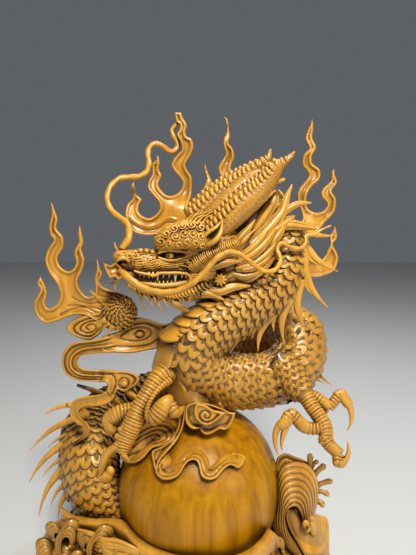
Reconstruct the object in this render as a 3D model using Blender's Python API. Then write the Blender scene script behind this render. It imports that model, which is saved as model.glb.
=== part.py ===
"""A carved wooden dragon over a globe, with clouds, flames and a base of waves, as one solid.

The carving is drawn on a sheet, as an eye in front of it sees it. A place on the sheet is
x squares to the right and y squares up from its middle, and it is brought toward the eye by
so many squares. Widths are in squares too, so the whole piece follows HEIGHT.
"""

import math

import bmesh
import bpy
from mathutils import Vector

HEIGHT = 0.82
SQUARES_TALL = 504
SQUARES_TO_EYE = 430
SQUARES_UP_TO_EYE = 400
SQUARE = HEIGHT / SQUARES_TALL
EYE_BACK = SQUARES_TO_EYE * SQUARE
EYE_UP = SQUARES_UP_TO_EYE * SQUARE
EYE_TILT = math.radians(7.6)

GLOBE_PLACE = (-9, -205, 0)
GLOBE_RADIUS = 0.169 * HEIGHT
BASE_MIDDLE = (-0.046 * HEIGHT, 0.01 * HEIGHT)
BASE_HALF_WIDTH = 0.298 * HEIGHT
BASE_HALF_DEPTH = 0.225 * HEIGHT
BASE_STEPS = ((0.0, 1.0), (0.05, 1.02), (0.12, 0.97), (0.165, 0.8), (0.18, 0.55))
BASE_LOBES = 9
BASE_LOBE_DEPTH = 0.035
BASE_POINTS = 36

# Half widths, flatness and places on the sheet.
TIP = 0.6
FLAME_FLAT = 0.4
FORE_PAD = (-104, -201, 26, 9)
SPLASH_ROOT_X = 98

WOOD_COLOUR = (0.42, 0.2, 0.045, 1)
WOOD_ROUGHNESS = 0.35

for item in list(bpy.data.objects):
    bpy.data.objects.remove(item)


def folder(name):
    made = bpy.data.collections.new(name)
    bpy.context.scene.collection.children.link(made)
    return made


carving_folder = folder("dragon_sculpture")
shape_folder = folder("joined_shapes")
shape_folder.hide_render = True


def at(x, y, forward):
    """The place in space that the eye sees at x, y, so many squares nearer than the globe's middle."""
    across = x * SQUARE / EYE_BACK
    up = y * SQUARE / EYE_BACK
    level = math.cos(EYE_TILT) + up * math.sin(EYE_TILT)
    rise = up * math.cos(EYE_TILT) - math.sin(EYE_TILT)
    reach = (EYE_BACK - forward * SQUARE) / level
    return Vector((reach * across, -forward * SQUARE, EYE_UP + reach * rise))


def globe_front(x, y, lift=0.0):
    """How far forward the globe's face is where the eye sees x, y, with a lift off its surface."""
    eye = Vector((0, -EYE_BACK, EYE_UP))
    sight = (at(x, y, 0) - eye).normalized()
    to_middle = at(*GLOBE_PLACE) - eye
    along = to_middle.dot(sight)
    missed = to_middle.length_squared - along * along
    half = math.sqrt(max((GLOBE_RADIUS + lift * SQUARE) ** 2 - missed, 0.0))
    return -(eye + sight * (along - half)).y / SQUARE


def on_globe(stations, lift):
    return [(x, y, globe_front(x, y, lift), radius) for x, y, radius in stations]


def smooth(stations, steps):
    """A smooth run through the stations, with so many steps between two of them."""
    ends = [stations[0]] + list(stations) + [stations[-1]]
    run = []
    for a, b, c, d in zip(ends, ends[1:], ends[2:], ends[3:]):
        for step in range(steps):
            t = step / steps
            weights = (
                (-t + 2 * t * t - t ** 3) / 2,
                (2 - 5 * t * t + 3 * t ** 3) / 2,
                (t + 4 * t * t - 3 * t ** 3) / 2,
                (-t * t + t ** 3) / 2,
            )
            run.append([sum(w * v for w, v in zip(weights, values)) for values in zip(a, b, c, d)])
    run.append(list(stations[-1]))
    return run


def add_shape(name, mesh_data, place=None):
    """Welds and stands up a mesh drawn on the sheet, and keeps it with the shapes to be joined."""
    shape = bmesh.new()
    shape.from_mesh(mesh_data)
    bmesh.ops.remove_doubles(shape, verts=shape.verts, dist=0.0001)
    if place:
        for vert in shape.verts:
            vert.co = place(vert.co)
    bmesh.ops.recalc_face_normals(shape, faces=shape.faces)
    for face in shape.faces:
        face.smooth = True
    shape.to_mesh(mesh_data)
    shape.free()
    made = bpy.data.objects.new(name, mesh_data)
    made.hide_render = True
    made.display_type = "WIRE"
    shape_folder.objects.link(made)
    return made


def rope(name, stations, steps=1, round_by=1, flat=1.0):
    """A tapered rope through (x, y, forward, half width) stations, pressed flat toward the sheet."""
    curve = bpy.data.curves.new(name, "CURVE")
    curve.dimensions = "3D"
    curve.bevel_depth = 1.0
    curve.bevel_resolution = round_by
    curve.use_fill_caps = True
    path = smooth(stations, steps)
    spline = curve.splines.new("POLY")
    spline.points.add(len(path) - 1)
    for point, (x, y, forward, half) in zip(spline.points, path):
        point.co = (x, y, forward / flat, 1)
        point.radius = max(half, TIP)
    holder = bpy.data.objects.new(name + "_line", curve)
    bpy.context.scene.collection.objects.link(holder)
    bpy.context.view_layer.update()
    graph = bpy.context.evaluated_depsgraph_get()
    drawn = bpy.data.meshes.new_from_object(holder.evaluated_get(graph))
    bpy.data.objects.remove(holder)
    return add_shape(name, drawn, lambda co: at(co.x, co.y, co.z * flat))


def ball(name, x, y, forward, half, flat=1.0, around=6, down=5):
    """A ball of the given half width on the sheet, pressed flat toward it."""
    shape = bmesh.new()
    bmesh.ops.create_uvsphere(shape, u_segments=around, v_segments=down, radius=half)
    drawn = bpy.data.meshes.new(name)
    shape.to_mesh(drawn)
    shape.free()
    return add_shape(name, drawn, lambda co: at(x + co.x, y + co.y, forward + co.z * flat))


def spike(name, root, tip, half, bow=0.0):
    """A curved spine from root to tip, both (x, y, forward); bow bends its middle sideways."""
    sink = 0.35
    inside = [r - sink * (t - r) for r, t in zip(root, tip)]
    middle = [(r + t) / 2 for r, t in zip(root, tip)]
    middle[0] -= bow * (tip[1] - root[1])
    middle[1] += bow * (tip[0] - root[0])
    stations = [(*inside, half), (*root, half), (*middle, half * 0.7), (*tip, TIP)]
    return rope(name, stations, round_by=0, flat=0.8)


# The globe.
globe = bmesh.new()
bmesh.ops.create_uvsphere(globe, u_segments=24, v_segments=12, radius=GLOBE_RADIUS)
bmesh.ops.translate(globe, verts=globe.verts, vec=at(*GLOBE_PLACE))
globe_mesh = bpy.data.meshes.new("globe")
globe.to_mesh(globe_mesh)
globe.free()
add_shape("globe", globe_mesh)

# The base of waves: a low mound with a lobed edge, flat underneath.
base = bmesh.new()
rings = []
for share_up, share_out in BASE_STEPS:
    ring = []
    for step in range(BASE_POINTS):
        turn = 2 * math.pi * step / BASE_POINTS
        lobe = 1 + BASE_LOBE_DEPTH * math.cos(BASE_LOBES * turn + 12 * share_up)
        out_x = BASE_HALF_WIDTH * share_out * lobe * math.cos(turn)
        out_y = BASE_HALF_DEPTH * share_out * lobe * math.sin(turn)
        corner = (BASE_MIDDLE[0] + out_x, BASE_MIDDLE[1] + out_y, share_up * HEIGHT)
        ring.append(base.verts.new(corner))
    rings.append(ring)
for low, high in zip(rings, rings[1:]):
    for step in range(BASE_POINTS):
        following = (step + 1) % BASE_POINTS
        base.faces.new((low[step], low[following], high[following], high[step]))
base.faces.new(rings[0])
base.faces.new(rings[-1])
base_mesh = bpy.data.meshes.new("wave_base")
base.to_mesh(base_mesh)
base.free()
add_shape("wave_base", base_mesh)

# The dragon's body: neck, turn of the chest, then the lower body round behind the globe to the tail.
rope(
    "neck",
    [
        (84, 46, 14, 17),
        (82, 12, 20, 20),
        (62, -14, 26, 23),
        (26, -36, 34, 25),
        (-2, -54, 38, 27),
        (-19, -76, 34, 30),
    ],
    steps=2,
    round_by=3,
)
ball("chest", -19, -76, 34, 30, around=9, down=6)
rope(
    "lower_body",
    [
        (-19, -76, 34, 30),
        (0, -97, 18, 29),
        (30, -104, 8, 27),
        (64, -101, 0, 26),
        (87, -86, -14, 26),
        (90, -60, -34, 25),
        (76, -58, -62, 25),
        (40, -84, -88, 25),
        (-20, -112, -98, 26),
        (-78, -130, -82, 27),
        (-112, -150, -44, 28),
        (-119, -180, -6, 29),
        (-114, -210, 4, 28),
        (-96, -236, 6, 22),
        (-66, -254, 6, 13),
    ],
    steps=2,
    round_by=3,
)

# The head, a little turned to the eye.
rope(
    "skull",
    [
        (-48, 18, 54, 15),
        (-28, 30, 49, 25),
        (0, 32, 42, 27),
        (28, 26, 35, 23),
        (58, 28, 26, 19),
        (82, 38, 16, 16),
    ],
    round_by=2,
    flat=1.1,
)
rope(
    "snout",
    [(-95, 17, 62, 5), (-88, 18, 61, 11), (-72, 15, 58, 13), (-52, 14, 54, 14), (-20, 14, 48, 15)],
    round_by=2,
    flat=1.2,
)
rope("lip_flare", [(-105, 15, 62, 1), (-99, 8, 62, 4), (-88, 2, 62, 6), (-74, 4, 60, 7)], flat=1.6)
ball("nostril_left", -86, 24, 70, 7)
rope(
    "lower_jaw",
    [
        (-78, -7, 57, 4),
        (-62, -13, 55, 6),
        (-38, -17, 52, 7),
        (-12, -16, 47, 9),
        (14, -6, 41, 12),
        (32, 10, 36, 14),
    ],
    round_by=2,
    flat=1.7,
)
rope("mouth_inside", [(-66, 0, 50, 4), (-36, -3, 47, 6), (-4, -2, 42, 8)], flat=1.6)
rope("brow_left", [(-54, 29, 66, 4), (-42, 38, 71, 7), (-26, 42, 70, 8), (-6, 42, 64, 6)], flat=0.9)
rope("brow_right", [(-54, 32, 44, 4), (-40, 42, 36, 7), (-24, 47, 30, 8), (-4, 47, 26, 6)], flat=0.9)
ball("eye_left", -37, 27, 69, 6.5)
rope("ear", [(-6, 32, 62, 4), (1, 40, 67, 7), (8, 48, 66, 6), (15, 56, 60, 1)], flat=0.5)
rope("cheek", [(-14, 14, 66, 6), (2, 18, 66, 9), (18, 30, 60, 8), (30, 42, 50, 5)], flat=0.8)

UPPER_TEETH = ((-68, 1), (-60, 1), (-50, 4), (-42, 0), (-33, 4), (-26, 0), (-19, 0))
for index, (x, longer) in enumerate(UPPER_TEETH):
    forward = 67 - (x + 68) * 0.12
    rope(
        f"tooth_{index}",
        [(x, 8, forward - 2, 2.4), (x, -1, forward, 2.0), (x - 1, -4 - longer, forward, TIP)],
        round_by=0,
    )

# The horns, with their prongs.
rope(
    "horn_back",
    [
        (-14, 62, 38, 13),
        (8, 82, 34, 14),
        (28, 97, 30, 12),
        (44, 110, 28, 9),
        (55, 120, 27, 5),
        (62, 128, 27, 1),
    ],
    round_by=2,
)
rope(
    "horn_front",
    [
        (4, 48, 56, 13),
        (28, 71, 54, 14),
        (48, 92, 50, 11),
        (63, 107, 46, 8),
        (77, 117, 44, 4),
        (87, 125, 42, 1),
    ],
    round_by=2,
)
rope("horn_prong", [(60, 88, 48, 6), (68, 93, 48, 4), (77, 97, 48, 1)])
rope("horn_low_prong", [(40, 62, 54, 7), (54, 73, 54, 5), (66, 85, 52, 1)])

# The mane and the locks about the jaw.
LOCKS = (
    ((34, 24, 42, 9), (46, 36, 42, 11), (62, 50, 38, 9), (73, 66, 34, 6), (83, 93, 30, 1)),
    ((70, 60, 34, 6), (88, 71, 30, 4), (103, 74, 26, 1)),
    ((66, 52, 34, 6), (76, 59, 32, 4), (88, 61, 30, 1)),
    ((26, 30, 54, 7), (42, 52, 52, 7), (52, 64, 50, 4), (59, 74, 48, 1)),
    ((4, 8, 58, 7), (22, 14, 58, 6), (36, 18, 54, 1)),
    ((2, -12, 54, 8), (22, -12, 52, 6), (42, -7, 48, 1)),
    ((-6, -16, 54, 6), (6, -20, 54, 4), (18, -23, 52, 1)),
    ((-40, -20, 56, 5), (-30, -28, 58, 4), (-18, -35, 58, 1)),
)
for index, lock in enumerate(LOCKS):
    rope(f"lock_{index}", lock, round_by=0, flat=0.8)

JAW_SPIKES = (
    (-64, -61, -34), (-56, -54, -30), (-46, -44, -37), (-38, -37, -30), (-12, -18, -30), (10, 16, -24),
)
for index, (root_x, tip_x, tip_y) in enumerate(JAW_SPIKES):
    spike(f"jaw_spike_{index}", (root_x, -18, 58), (tip_x, tip_y, 58), 3)

# The whiskers.
rope(
    "whisker_low",
    [
        (-85, 8, 68, 4.5),
        (-68, -3, 76, 4.5),
        (-44, -11, 79, 4.4),
        (-19, -8, 79, 4),
        (-2, 7, 79, 4),
        (9, 20, 78, 3.8),
        (22, 25, 76, 3.6),
        (38, 17, 71, 3.4),
        (54, 7, 64, 3.2),
        (68, 10, 56, 3),
        (73, 24, 48, 3),
        (70, 34, 40, 3),
        (84, 32, 36, 2.8),
        (95, 33, 33, 2.5),
        (104, 42, 30, 2.2),
        (123, 51, 28, 1),
    ],
)
rope(
    "whisker_high",
    [
        (-85, 28, 62, 3.8),
        (-78, 42, 56, 3.6),
        (-81, 58, 46, 3.4),
        (-97, 69, 36, 3.3),
        (-101, 85, 30, 3.3),
        (-88, 99, 22, 3.2),
        (-68, 101, 16, 3.2),
        (-58, 115, 8, 3.1),
        (-59, 130, 2, 3),
        (-49, 135, -4, 3),
        (-36, 127, -9, 2.9),
        (-30, 132, -11, 2.7),
        (-37, 145, -11, 2.6),
        (-30, 164, -12, 2),
    ],
    round_by=0,
)

# The flames: wavy blades, each from its root to its tip.
FLAMES = {
    "crest_tall": (
        (-20, 40, 20, 10), (-34, 58, 6, 9), (-26, 74, -6, 7), (-20, 92, -10, 5), (-29, 112, -12, 7),
        (-22, 134, -12, 7), (-27, 150, -12, 2.5), (-30, 165, -12, 2),
    ),
    "crest_middle": (
        (-34, 58, 4, 8), (-40, 68, 0, 8), (-54, 84, -4, 7), (-54, 98, -6, 4.5), (-51, 121, -8, TIP),
    ),
    "crest_low": (
        (-32, 60, 10, 8), (-54, 56, 10, 6), (-72, 60, 6, 6.5), (-75, 72, 4, 6), (-71, 82, 2, 5),
        (-75, 95, 0, TIP),
    ),
    "back_tall": (
        (26, 38, 26, 9), (20, 60, 6, 8), (24, 80, -10, 6), (18, 103, -20, 5.5), (17, 113, -24, 6.5),
        (20, 127, -26, 5), (19, 141, -28, 2.2), (17, 160, -30, TIP),
    ),
    "back_small": (
        (8, 38, 26, 8), (4, 62, 10, 6), (0, 80, -4, 4.5), (0, 90, -8, 3.2), (-3, 113, -12, TIP),
    ),
    "back_least": ((8, 40, 26, 6), (4, 66, 10, 4), (6, 74, 0, 3), (8, 85, -4, TIP)),
    "right_tall": (
        (82, 30, 8, 10), (94, 48, -6, 10), (97, 62, -16, 6), (94, 78, -22, 5), (103, 96, -28, 7),
        (105, 108, -30, 6.5), (99, 119, -32, 4.7), (103, 130, -34, 5), (102, 143, -35, 2.8),
        (104, 157, -36, TIP),
    ),
    "right_short": (
        (90, 40, -4, 9), (104, 54, -16, 8), (116, 63, -22, 6), (122, 72, -26, 5.5), (121, 82, -28, 6.5),
        (126, 92, -30, 4.5), (125, 108, -32, TIP),
    ),
    "right_low": (
        (84, 30, 0, 9), (102, 18, -16, 7), (114, 11, -22, 7), (124, 18, -26, 6), (125, 29, -28, 4),
        (127, 51, -30, TIP),
    ),
    "cloud_tall": (
        (-112, -30, 34, 9), (-130, -19, 32, 11), (-147, -2, 30, 8), (-156, 14, 30, 6.5), (-152, 29, 30, 7.5),
        (-152, 40, 30, 5), (-155, 52, 30, 4), (-156, 75, 28, TIP),
    ),
    "cloud_left": (
        (-118, -28, 34, 9), (-142, -35, 32, 8), (-160, -39, 30, 6.5), (-168, -28, 30, 5.5),
        (-164, -14, 28, 3.2), (-167, 1, 28, TIP),
    ),
    "cloud_right": (
        (-112, -28, 34, 9), (-130, -16, 34, 8), (-134, -2, 34, 6), (-128, 14, 34, 5), (-128, 30, 34, 4),
        (-128, 52, 32, TIP),
    ),
    "cloud_small": ((-104, -22, 38, 8), (-110, -10, 38, 5), (-111, 2, 38, 3.5), (-111, 18, 36, TIP)),
}
for name, stations in FLAMES.items():
    rope(name, stations, flat=FLAME_FLAT)

# The pearl among the clouds, with its points.
ball("pearl", -89, -35, 40, 16, around=10, down=7)
for index, (x, y) in enumerate(((-102, -57), (-90, -58), (-83, -51), (-74, -40), (-106, -24))):
    spike(f"pearl_point_{index}", (-89 + (x + 89) * 0.6, -35 + (y + 35) * 0.6, 44), (x, y, 44), 4)

# The clouds at the left.
rope(
    "cloud_scroll",
    [(-100, -36, 36, 7), (-122, -38, 34, 7), (-138, -46, 32, 6), (-134, -60, 32, 6), (-118, -62, 32, 6),
     (-110, -54, 32, 5), (-118, -47, 34, 5), (-124, -52, 35, 4)],
    flat=0.8,
)
rope(
    "cloud_neck",
    [(-89, -40, 38, 12), (-76, -56, 38, 10), (-60, -66, 38, 10), (-36, -72, 36, 12)],
    flat=0.7,
)
rope(
    "cloud_ribbon",
    [(-44, -64, 38, 8), (-70, -68, 40, 7), (-98, -69, 40, 7), (-124, -70, 38, 7), (-138, -84, 36, 9),
     (-131, -97, 36, 7), (-110, -100, 36, 6.5), (-86, -99, 37, 7), (-71, -101, 38, 6), (-72, -111, 38, 6),
     (-84, -115, 38, 5), (-88, -107, 38, 4)],
    flat=0.8,
)
rope(
    "cloud_tail",
    [(-92, -100, 36, 8), (-96, -114, 34, 9), (-112, -121, 32, 8), (-130, -125, 30, 7), (-137, -135, 28, 5),
     (-133, -144, 28, 5), (-121, -151, 28, 5), (-122, -159, 26, 5), (-133, -162, 22, 4)],
    flat=0.9,
)

# The spines down the neck, the lower body and the tail: root x, y, tip x, y, forward, half width.
SPINES = (
    (96, 50, 127, 42, 10, 5), (96, 32, 130, 6, 16, 4.5), (98, 22, 109, 13, 18, 3), (98, 14, 119, -29, 18, 5),
    (98, 1, 103, -17, 20, 3), (90, -12, 98, -53, 22, 5), (86, -19, 87, -40, 24, 3),
    (81, -27, 76, -66, 26, 5), (70, -39, 66, -55, 28, 3), (61, -42, 50, -75, 30, 4.5),
    (51, -48, 44, -62, 32, 3), (41, -53, 22, -77, 34, 4.5), (94, -48, 112, -48, -36, 4),
    (96, -64, 124, -74, -30, 4.5), (100, -72, 112, -79, -24, 3),
    (104, -80, 124, -108, -18, 4.5), (106, -94, 116, -107, -12, 3), (-130, -127, -163, -137, 26, 3.5),
    (-108, -134, -133, -107, -46, 4), (-134, -147, -178, -173, -6, 5.5), (-138, -158, -160, -171, -4, 3.5),
    (-142, -165, -179, -205, -2, 5.5), (-145, -181, -165, -200, 0, 3.5), (-146, -193, -169, -238, 2, 5.5),
    (-144, -208, -157, -229, 4, 3.5), (-140, -216, -150, -243, 4, 4.5),
)
for index, (root_x, root_y, tip_x, tip_y, forward, half) in enumerate(SPINES):
    spike(f"spine_{index}", (root_x, root_y, forward), (tip_x, tip_y, forward), half, bow=0.07)

# The hind leg at the right, with three toes and their claws.
rope(
    "hind_leg",
    [
        (80, -98, 10, 17),
        (94, -112, 18, 10),
        (106, -131, 24, 7.5),
        (116, -146, 26, 7.5),
        (118, -162, 26, 6.5),
    ],
    round_by=2,
)
rope(
    "hind_toe_low",
    [(117, -156, 26, 6), (122, -167, 28, 6), (131, -175, 30, 6), (129, -184, 32, 5), (137, -181, 32, 3.5),
     (141, -173, 32, 2.5), (140, -163, 32, TIP)],
)
rope(
    "hind_toe_right",
    [(100, -118, 18, 7), (114, -127, 16, 7), (125, -127, 14, 7), (133, -119, 14, 7), (139, -127, 16, 5),
     (143, -137, 16, 3), (139, -153, 16, TIP)],
)
rope(
    "hind_toe_left",
    [(114, -146, 26, 6), (100, -149, 30, 7), (90, -146, 32, 7), (83, -141, 34, 8), (75, -147, 36, 6),
     (70, -155, 36, 4), (69, -166, 36, 3), (72, -178, 36, TIP)],
)

# The foreleg at the left, standing on the tail, and the toes on the cloud.
rope(
    "fore_leg",
    [(-26, -84, 46, 16), (-46, -99, 52, 10), (-60, -117, 54, 8), (-74, -138, 52, 7.5), (-85, -154, 48, 7),
     (-88, -170, 44, 6)],
    round_by=2,
)
rope("fore_claw", [(-86, -166, 44, 6), (-96, -172, 40, 5), (-104, -182, 38, 4.5), (-107, -196, 34, 3)])
ball("fore_pad", *FORE_PAD, flat=0.7)
rope("fore_heel", [(-72, -130, 46, 9), (-86, -134, 42, 10), (-97, -144, 38, 8), (-92, -152, 38, 5)])
rope("fore_small_claw", [(-88, -170, 46, 5), (-84, -178, 48, 3.5), (-77, -186, 48, 1.5)])
rope(
    "fore_second_toe",
    [(-38, -100, 54, 6), (-52, -116, 58, 4.5), (-59, -132, 60, 5), (-54, -143, 62, 7), (-43, -136, 62, 8),
     (-38, -125, 60, 7), (-30, -134, 60, 5), (-30, -144, 60, 2)],
)

# The cloud that drapes over the globe.
rope(
    "drape_left",
    on_globe([(-34, -116, 10), (-38, -136, 12), (-50, -152, 14), (-60, -166, 12), (-66, -180, 7)], 1),
    flat=0.7,
)
rope(
    "drape_hem",
    on_globe([(-30, -130, 9), (-40, -150, 9), (-54, -176, 8), (-46, -192, 8), (-32, -191, 8), (-18, -182, 7),
              (-8, -186, 8), (2, -194, 8), (14, -190, 6), (26, -186, 4), (36, -183, 3)], 1),
    flat=0.6,
)
rope(
    "drape_middle",
    on_globe([(-24, -128, 10), (-16, -140, 12), (0, -145, 11), (16, -143, 9), (27, -134, 6)], 2),
    flat=0.7,
)
rope("drape_root", [(-30, -104, 40, 16), (-22, -122, 52, 14), (-14, -134, 62, 10)])

# The waves: the great curl at the right with its splash, and the crests at the left.
rope(
    "wave_curl",
    [(112, -290, 20, 26), (88, -268, 24, 20), (77, -240, 26, 14), (80, -214, 24, 14), (94, -203, 20, 15),
     (104, -216, 20, 11), (101, -234, 22, 8), (96, -248, 24, 3)],
    round_by=2,
)
rope(
    "wave_behind",
    [(98, -258, -10, 24), (92, -236, -10, 24), (90, -200, -10, 18), (76, -181, -12, 8)],
)
rope("wave_right", [(98, -270, 0, 20), (103, -238, 2, 14), (105, -214, 2, 11), (106, -196, 2, 7)])
SPLASHES = ((103, -180, 5), (116, -188, 5.5), (122, -204, 5), (117, -216, 4.5), (114, -228, 5))
for index, (x, y, half) in enumerate(SPLASHES):
    halfway = (SPLASH_ROOT_X + x) / 2
    rope(
        f"splash_{index}",
        [(SPLASH_ROOT_X, y - 8, 0, 6), (halfway, y - 4, 2, 4), (x, y, 4, half), (x + 3, y + 2, 4, 3)],
    )
rope(
    "wave_left",
    [(-150, -290, 26, 22), (-146, -262, 28, 18), (-132, -244, 30, 12), (-112, -240, 32, 10),
     (-92, -246, 34, 9), (-74, -258, 40, 9), (-52, -270, 56, 10), (-20, -280, 72, 12)],
    round_by=2,
)
CRESTS = ((-150, -250, 9), (-130, -256, 9), (-110, -258, 8), (-92, -266, 8))
for index, (x, y, size) in enumerate(CRESTS):
    rope(
        f"crest_{index}",
        [(x - 6, y - 34, 44, size), (x - 8, y - 12, 48, size * 0.9), (x - 2, y - 1, 50, size * 0.7),
         (x + 7, y - 5, 52, size * 0.5), (x + 5, y - 13, 53, size * 0.35)],
    )

# All shapes become one solid.
wood = bpy.data.materials.new("carved_wood")
wood.use_nodes = True
shader = wood.node_tree.nodes["Principled BSDF"]
shader.inputs["Base Color"].default_value = WOOD_COLOUR
shader.inputs["Roughness"].default_value = WOOD_ROUGHNESS

carving = bpy.data.objects["globe"]
shape_folder.objects.unlink(carving)
carving.name = "dragon_carving"
carving.hide_render = False
carving.display_type = "TEXTURED"
carving_folder.objects.link(carving)
carving.data.materials.append(wood)
joined = carving.modifiers.new("joined", "BOOLEAN")
joined.operation = "UNION"
joined.operand_type = "COLLECTION"
joined.collection = shape_folder
joined.solver = "EXACT"
joined.use_self = True
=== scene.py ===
"""The carved dragon over its globe, dressed with its carving in waxed wood."""

import math

import bpy
import numpy as np
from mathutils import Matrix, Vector
from mathutils.bvhtree import BVHTree
from mathutils.geometry import delaunay_2d_cdt


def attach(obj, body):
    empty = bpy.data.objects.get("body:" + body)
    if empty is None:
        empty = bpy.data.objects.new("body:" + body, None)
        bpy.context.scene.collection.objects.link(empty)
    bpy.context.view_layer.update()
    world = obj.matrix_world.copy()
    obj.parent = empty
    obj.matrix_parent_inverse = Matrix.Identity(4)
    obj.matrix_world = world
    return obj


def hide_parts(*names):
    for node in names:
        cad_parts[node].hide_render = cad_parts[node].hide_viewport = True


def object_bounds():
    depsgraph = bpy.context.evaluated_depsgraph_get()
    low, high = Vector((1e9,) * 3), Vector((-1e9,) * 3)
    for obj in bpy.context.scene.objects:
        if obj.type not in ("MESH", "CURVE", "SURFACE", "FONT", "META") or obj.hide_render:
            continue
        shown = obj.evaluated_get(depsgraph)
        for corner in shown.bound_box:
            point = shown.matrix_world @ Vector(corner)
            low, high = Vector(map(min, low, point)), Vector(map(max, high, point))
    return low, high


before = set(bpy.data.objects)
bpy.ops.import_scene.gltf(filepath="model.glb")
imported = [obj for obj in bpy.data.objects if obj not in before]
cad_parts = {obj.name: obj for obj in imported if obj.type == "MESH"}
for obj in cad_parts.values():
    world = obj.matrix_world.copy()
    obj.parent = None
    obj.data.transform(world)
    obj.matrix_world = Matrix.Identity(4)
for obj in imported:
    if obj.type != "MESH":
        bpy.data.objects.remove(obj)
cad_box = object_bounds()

# The drawing sheet, as in the part: places are x right, y up and f toward the eye, in squares.
TALL = 505.7
SQUARE = (cad_box[1][2] - cad_box[0][2]) / TALL
EYE_AWAY = 430.0
EYE_UP = 400.0
EYE_TILT = math.radians(7.6)
COS_TILT, SIN_TILT = math.cos(EYE_TILT), math.sin(EYE_TILT)
GLOBE_PLACE = (-9.0, -205.0, 0.0)
# The part's own measures of the globe and the base are shares of this many squares.
PART_TALL = 504.0
GLOBE_RADIUS = 0.169 * PART_TALL
TOWARD_EYE = np.array([0.0, 0.0, 1.0])


def at(places):
    """Sheet places, as rows, to places in space."""
    places = np.asarray(places, float)
    x, y, f = places[..., 0], places[..., 1], places[..., 2]
    up = y / EYE_AWAY
    reach = (EYE_AWAY - f) / (COS_TILT + up * SIN_TILT)
    space = np.stack([reach * x / EYE_AWAY, -f, EYE_UP + reach * (up * COS_TILT - SIN_TILT)], axis=-1)
    return space * SQUARE


def globe_front(x, y):
    """How far forward the globe's face is where the eye sees x, y."""
    x, y = np.broadcast_arrays(np.asarray(x, float), np.asarray(y, float))
    eye = np.array([0.0, -EYE_AWAY, EYE_UP])
    sight = at(np.stack([x, y, np.zeros_like(x)], axis=-1)) / SQUARE - eye
    sight /= np.linalg.norm(sight, axis=-1, keepdims=True)
    to_middle = at(GLOBE_PLACE) / SQUARE - eye
    along = sight @ to_middle
    missed = (to_middle ** 2).sum() - along ** 2
    half = np.sqrt(np.maximum(GLOBE_RADIUS ** 2 - missed, 0.0))
    return -(eye[1] + sight[..., 1] * (along - half))


def hump(value, middle, half):
    """A soft hump of height 1 at its middle."""
    return np.exp(-((value - middle) / half) ** 2)


def ease(low, high, value):
    """Goes smoothly from 0 at low to 1 at high."""
    t = np.clip((value - low) / (high - low), 0.0, 1.0)
    return t * t * (3 - 2 * t)


OCTAVES, SINES = 3, 4


def waves(points, scale, seed):
    """Cheap smooth noise between -1 and 1, from sums of turned sines."""
    rng = np.random.default_rng(seed)
    total = np.zeros(points.shape[:-1])
    for octave in range(OCTAVES):
        for _ in range(SINES):
            way = rng.normal(size=points.shape[-1])
            way *= (1.7 ** octave) / (scale * np.linalg.norm(way))
            total += np.sin(points @ way * 2 * np.pi + rng.uniform(0, 2 * np.pi)) / (1.8 ** octave)
    return total / 5.0


FINE_STEPS = 14


def run_through(stations, step, closed=False):
    """Points about every step squares on a smooth line through the stations; all columns ride along."""
    rows = np.asarray(stations, float)
    if closed:
        ends = np.vstack([rows[-1:], rows, rows[:2]])
    else:
        ends = np.vstack([rows[:1], rows, rows[-1:]])
    t = np.linspace(0, 1, FINE_STEPS, endpoint=False)[:, None]
    first, second = -t + 2 * t ** 2 - t ** 3, 2 - 5 * t ** 2 + 3 * t ** 3
    third, fourth = t + 4 * t ** 2 - 3 * t ** 3, -t ** 2 + t ** 3
    parts = []
    for a, b, c, d in zip(ends, ends[1:], ends[2:], ends[3:]):
        parts.append((a * first + b * second + c * third + d * fourth) / 2)
    fine = np.vstack(parts + [rows[:1] if closed else rows[-1:]])
    width = min(3, rows.shape[1])
    gaps = np.linalg.norm(np.diff(fine[:, :width], axis=0), axis=1)
    along = np.concatenate([[0], np.cumsum(gaps)])
    count = max(int(round(along[-1] / step)), 3)
    places = np.linspace(0, along[-1], count + 1)
    if closed:
        places = places[:-1]
    return np.stack([np.interp(places, along, column) for column in fine.T], axis=1), places


def heap():
    """An empty heap of sheet points and faces, which becomes one piece."""
    return {"points": [], "quads": [], "tris": [], "dark": [], "pale": [], "count": 0}


def put(into, points, quads, tris=None, dark=0.0, pale=0.0):
    """Adds points and their faces to a heap, with how dark and how pale each point is."""
    points = np.asarray(points, float).reshape(-1, 3)
    start = into["count"]
    into["points"].append(points)
    for key, value in (("dark", dark), ("pale", pale)):
        into[key].append(np.broadcast_to(np.asarray(value, float).reshape(-1), (len(points),)))
    into["quads"].append(np.asarray(quads, np.int64).reshape(-1, 4) + start)
    if tris is not None:
        into["tris"].append(np.asarray(tris, np.int64) + start)
    into["count"] += len(points)


def build(name, parts, material, mapped=True):
    """Makes one piece of a heap. Points that are on the sheet are mapped to places in space."""
    points = np.vstack(parts["points"])
    if mapped:
        points = at(points)
    quads, tris = np.vstack(parts["quads"]), np.vstack(parts["tris"])
    made = bpy.data.meshes.new(name)
    made.vertices.add(len(points))
    made.vertices.foreach_set("co", points.astype(np.float32).ravel())
    corners = np.concatenate([quads.ravel(), tris.ravel()]).astype(np.int32)
    made.loops.add(len(corners))
    made.loops.foreach_set("vertex_index", corners)
    starts = np.concatenate([np.arange(len(quads)) * 4, len(quads) * 4 + np.arange(len(tris)) * 3])
    made.polygons.add(len(starts))
    made.polygons.foreach_set("loop_start", starts.astype(np.int32))
    for key in ("dark", "pale"):
        layer = made.attributes.new(key, "FLOAT", "POINT")
        layer.data.foreach_set("value", np.concatenate(parts[key]).astype(np.float32))
    made.update(calc_edges=True)
    made.polygons.foreach_set("use_smooth", np.ones(len(starts), bool))
    made.materials.append(material)
    piece = bpy.data.objects.new(name, made)
    bpy.context.scene.collection.objects.link(piece)
    return piece


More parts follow.
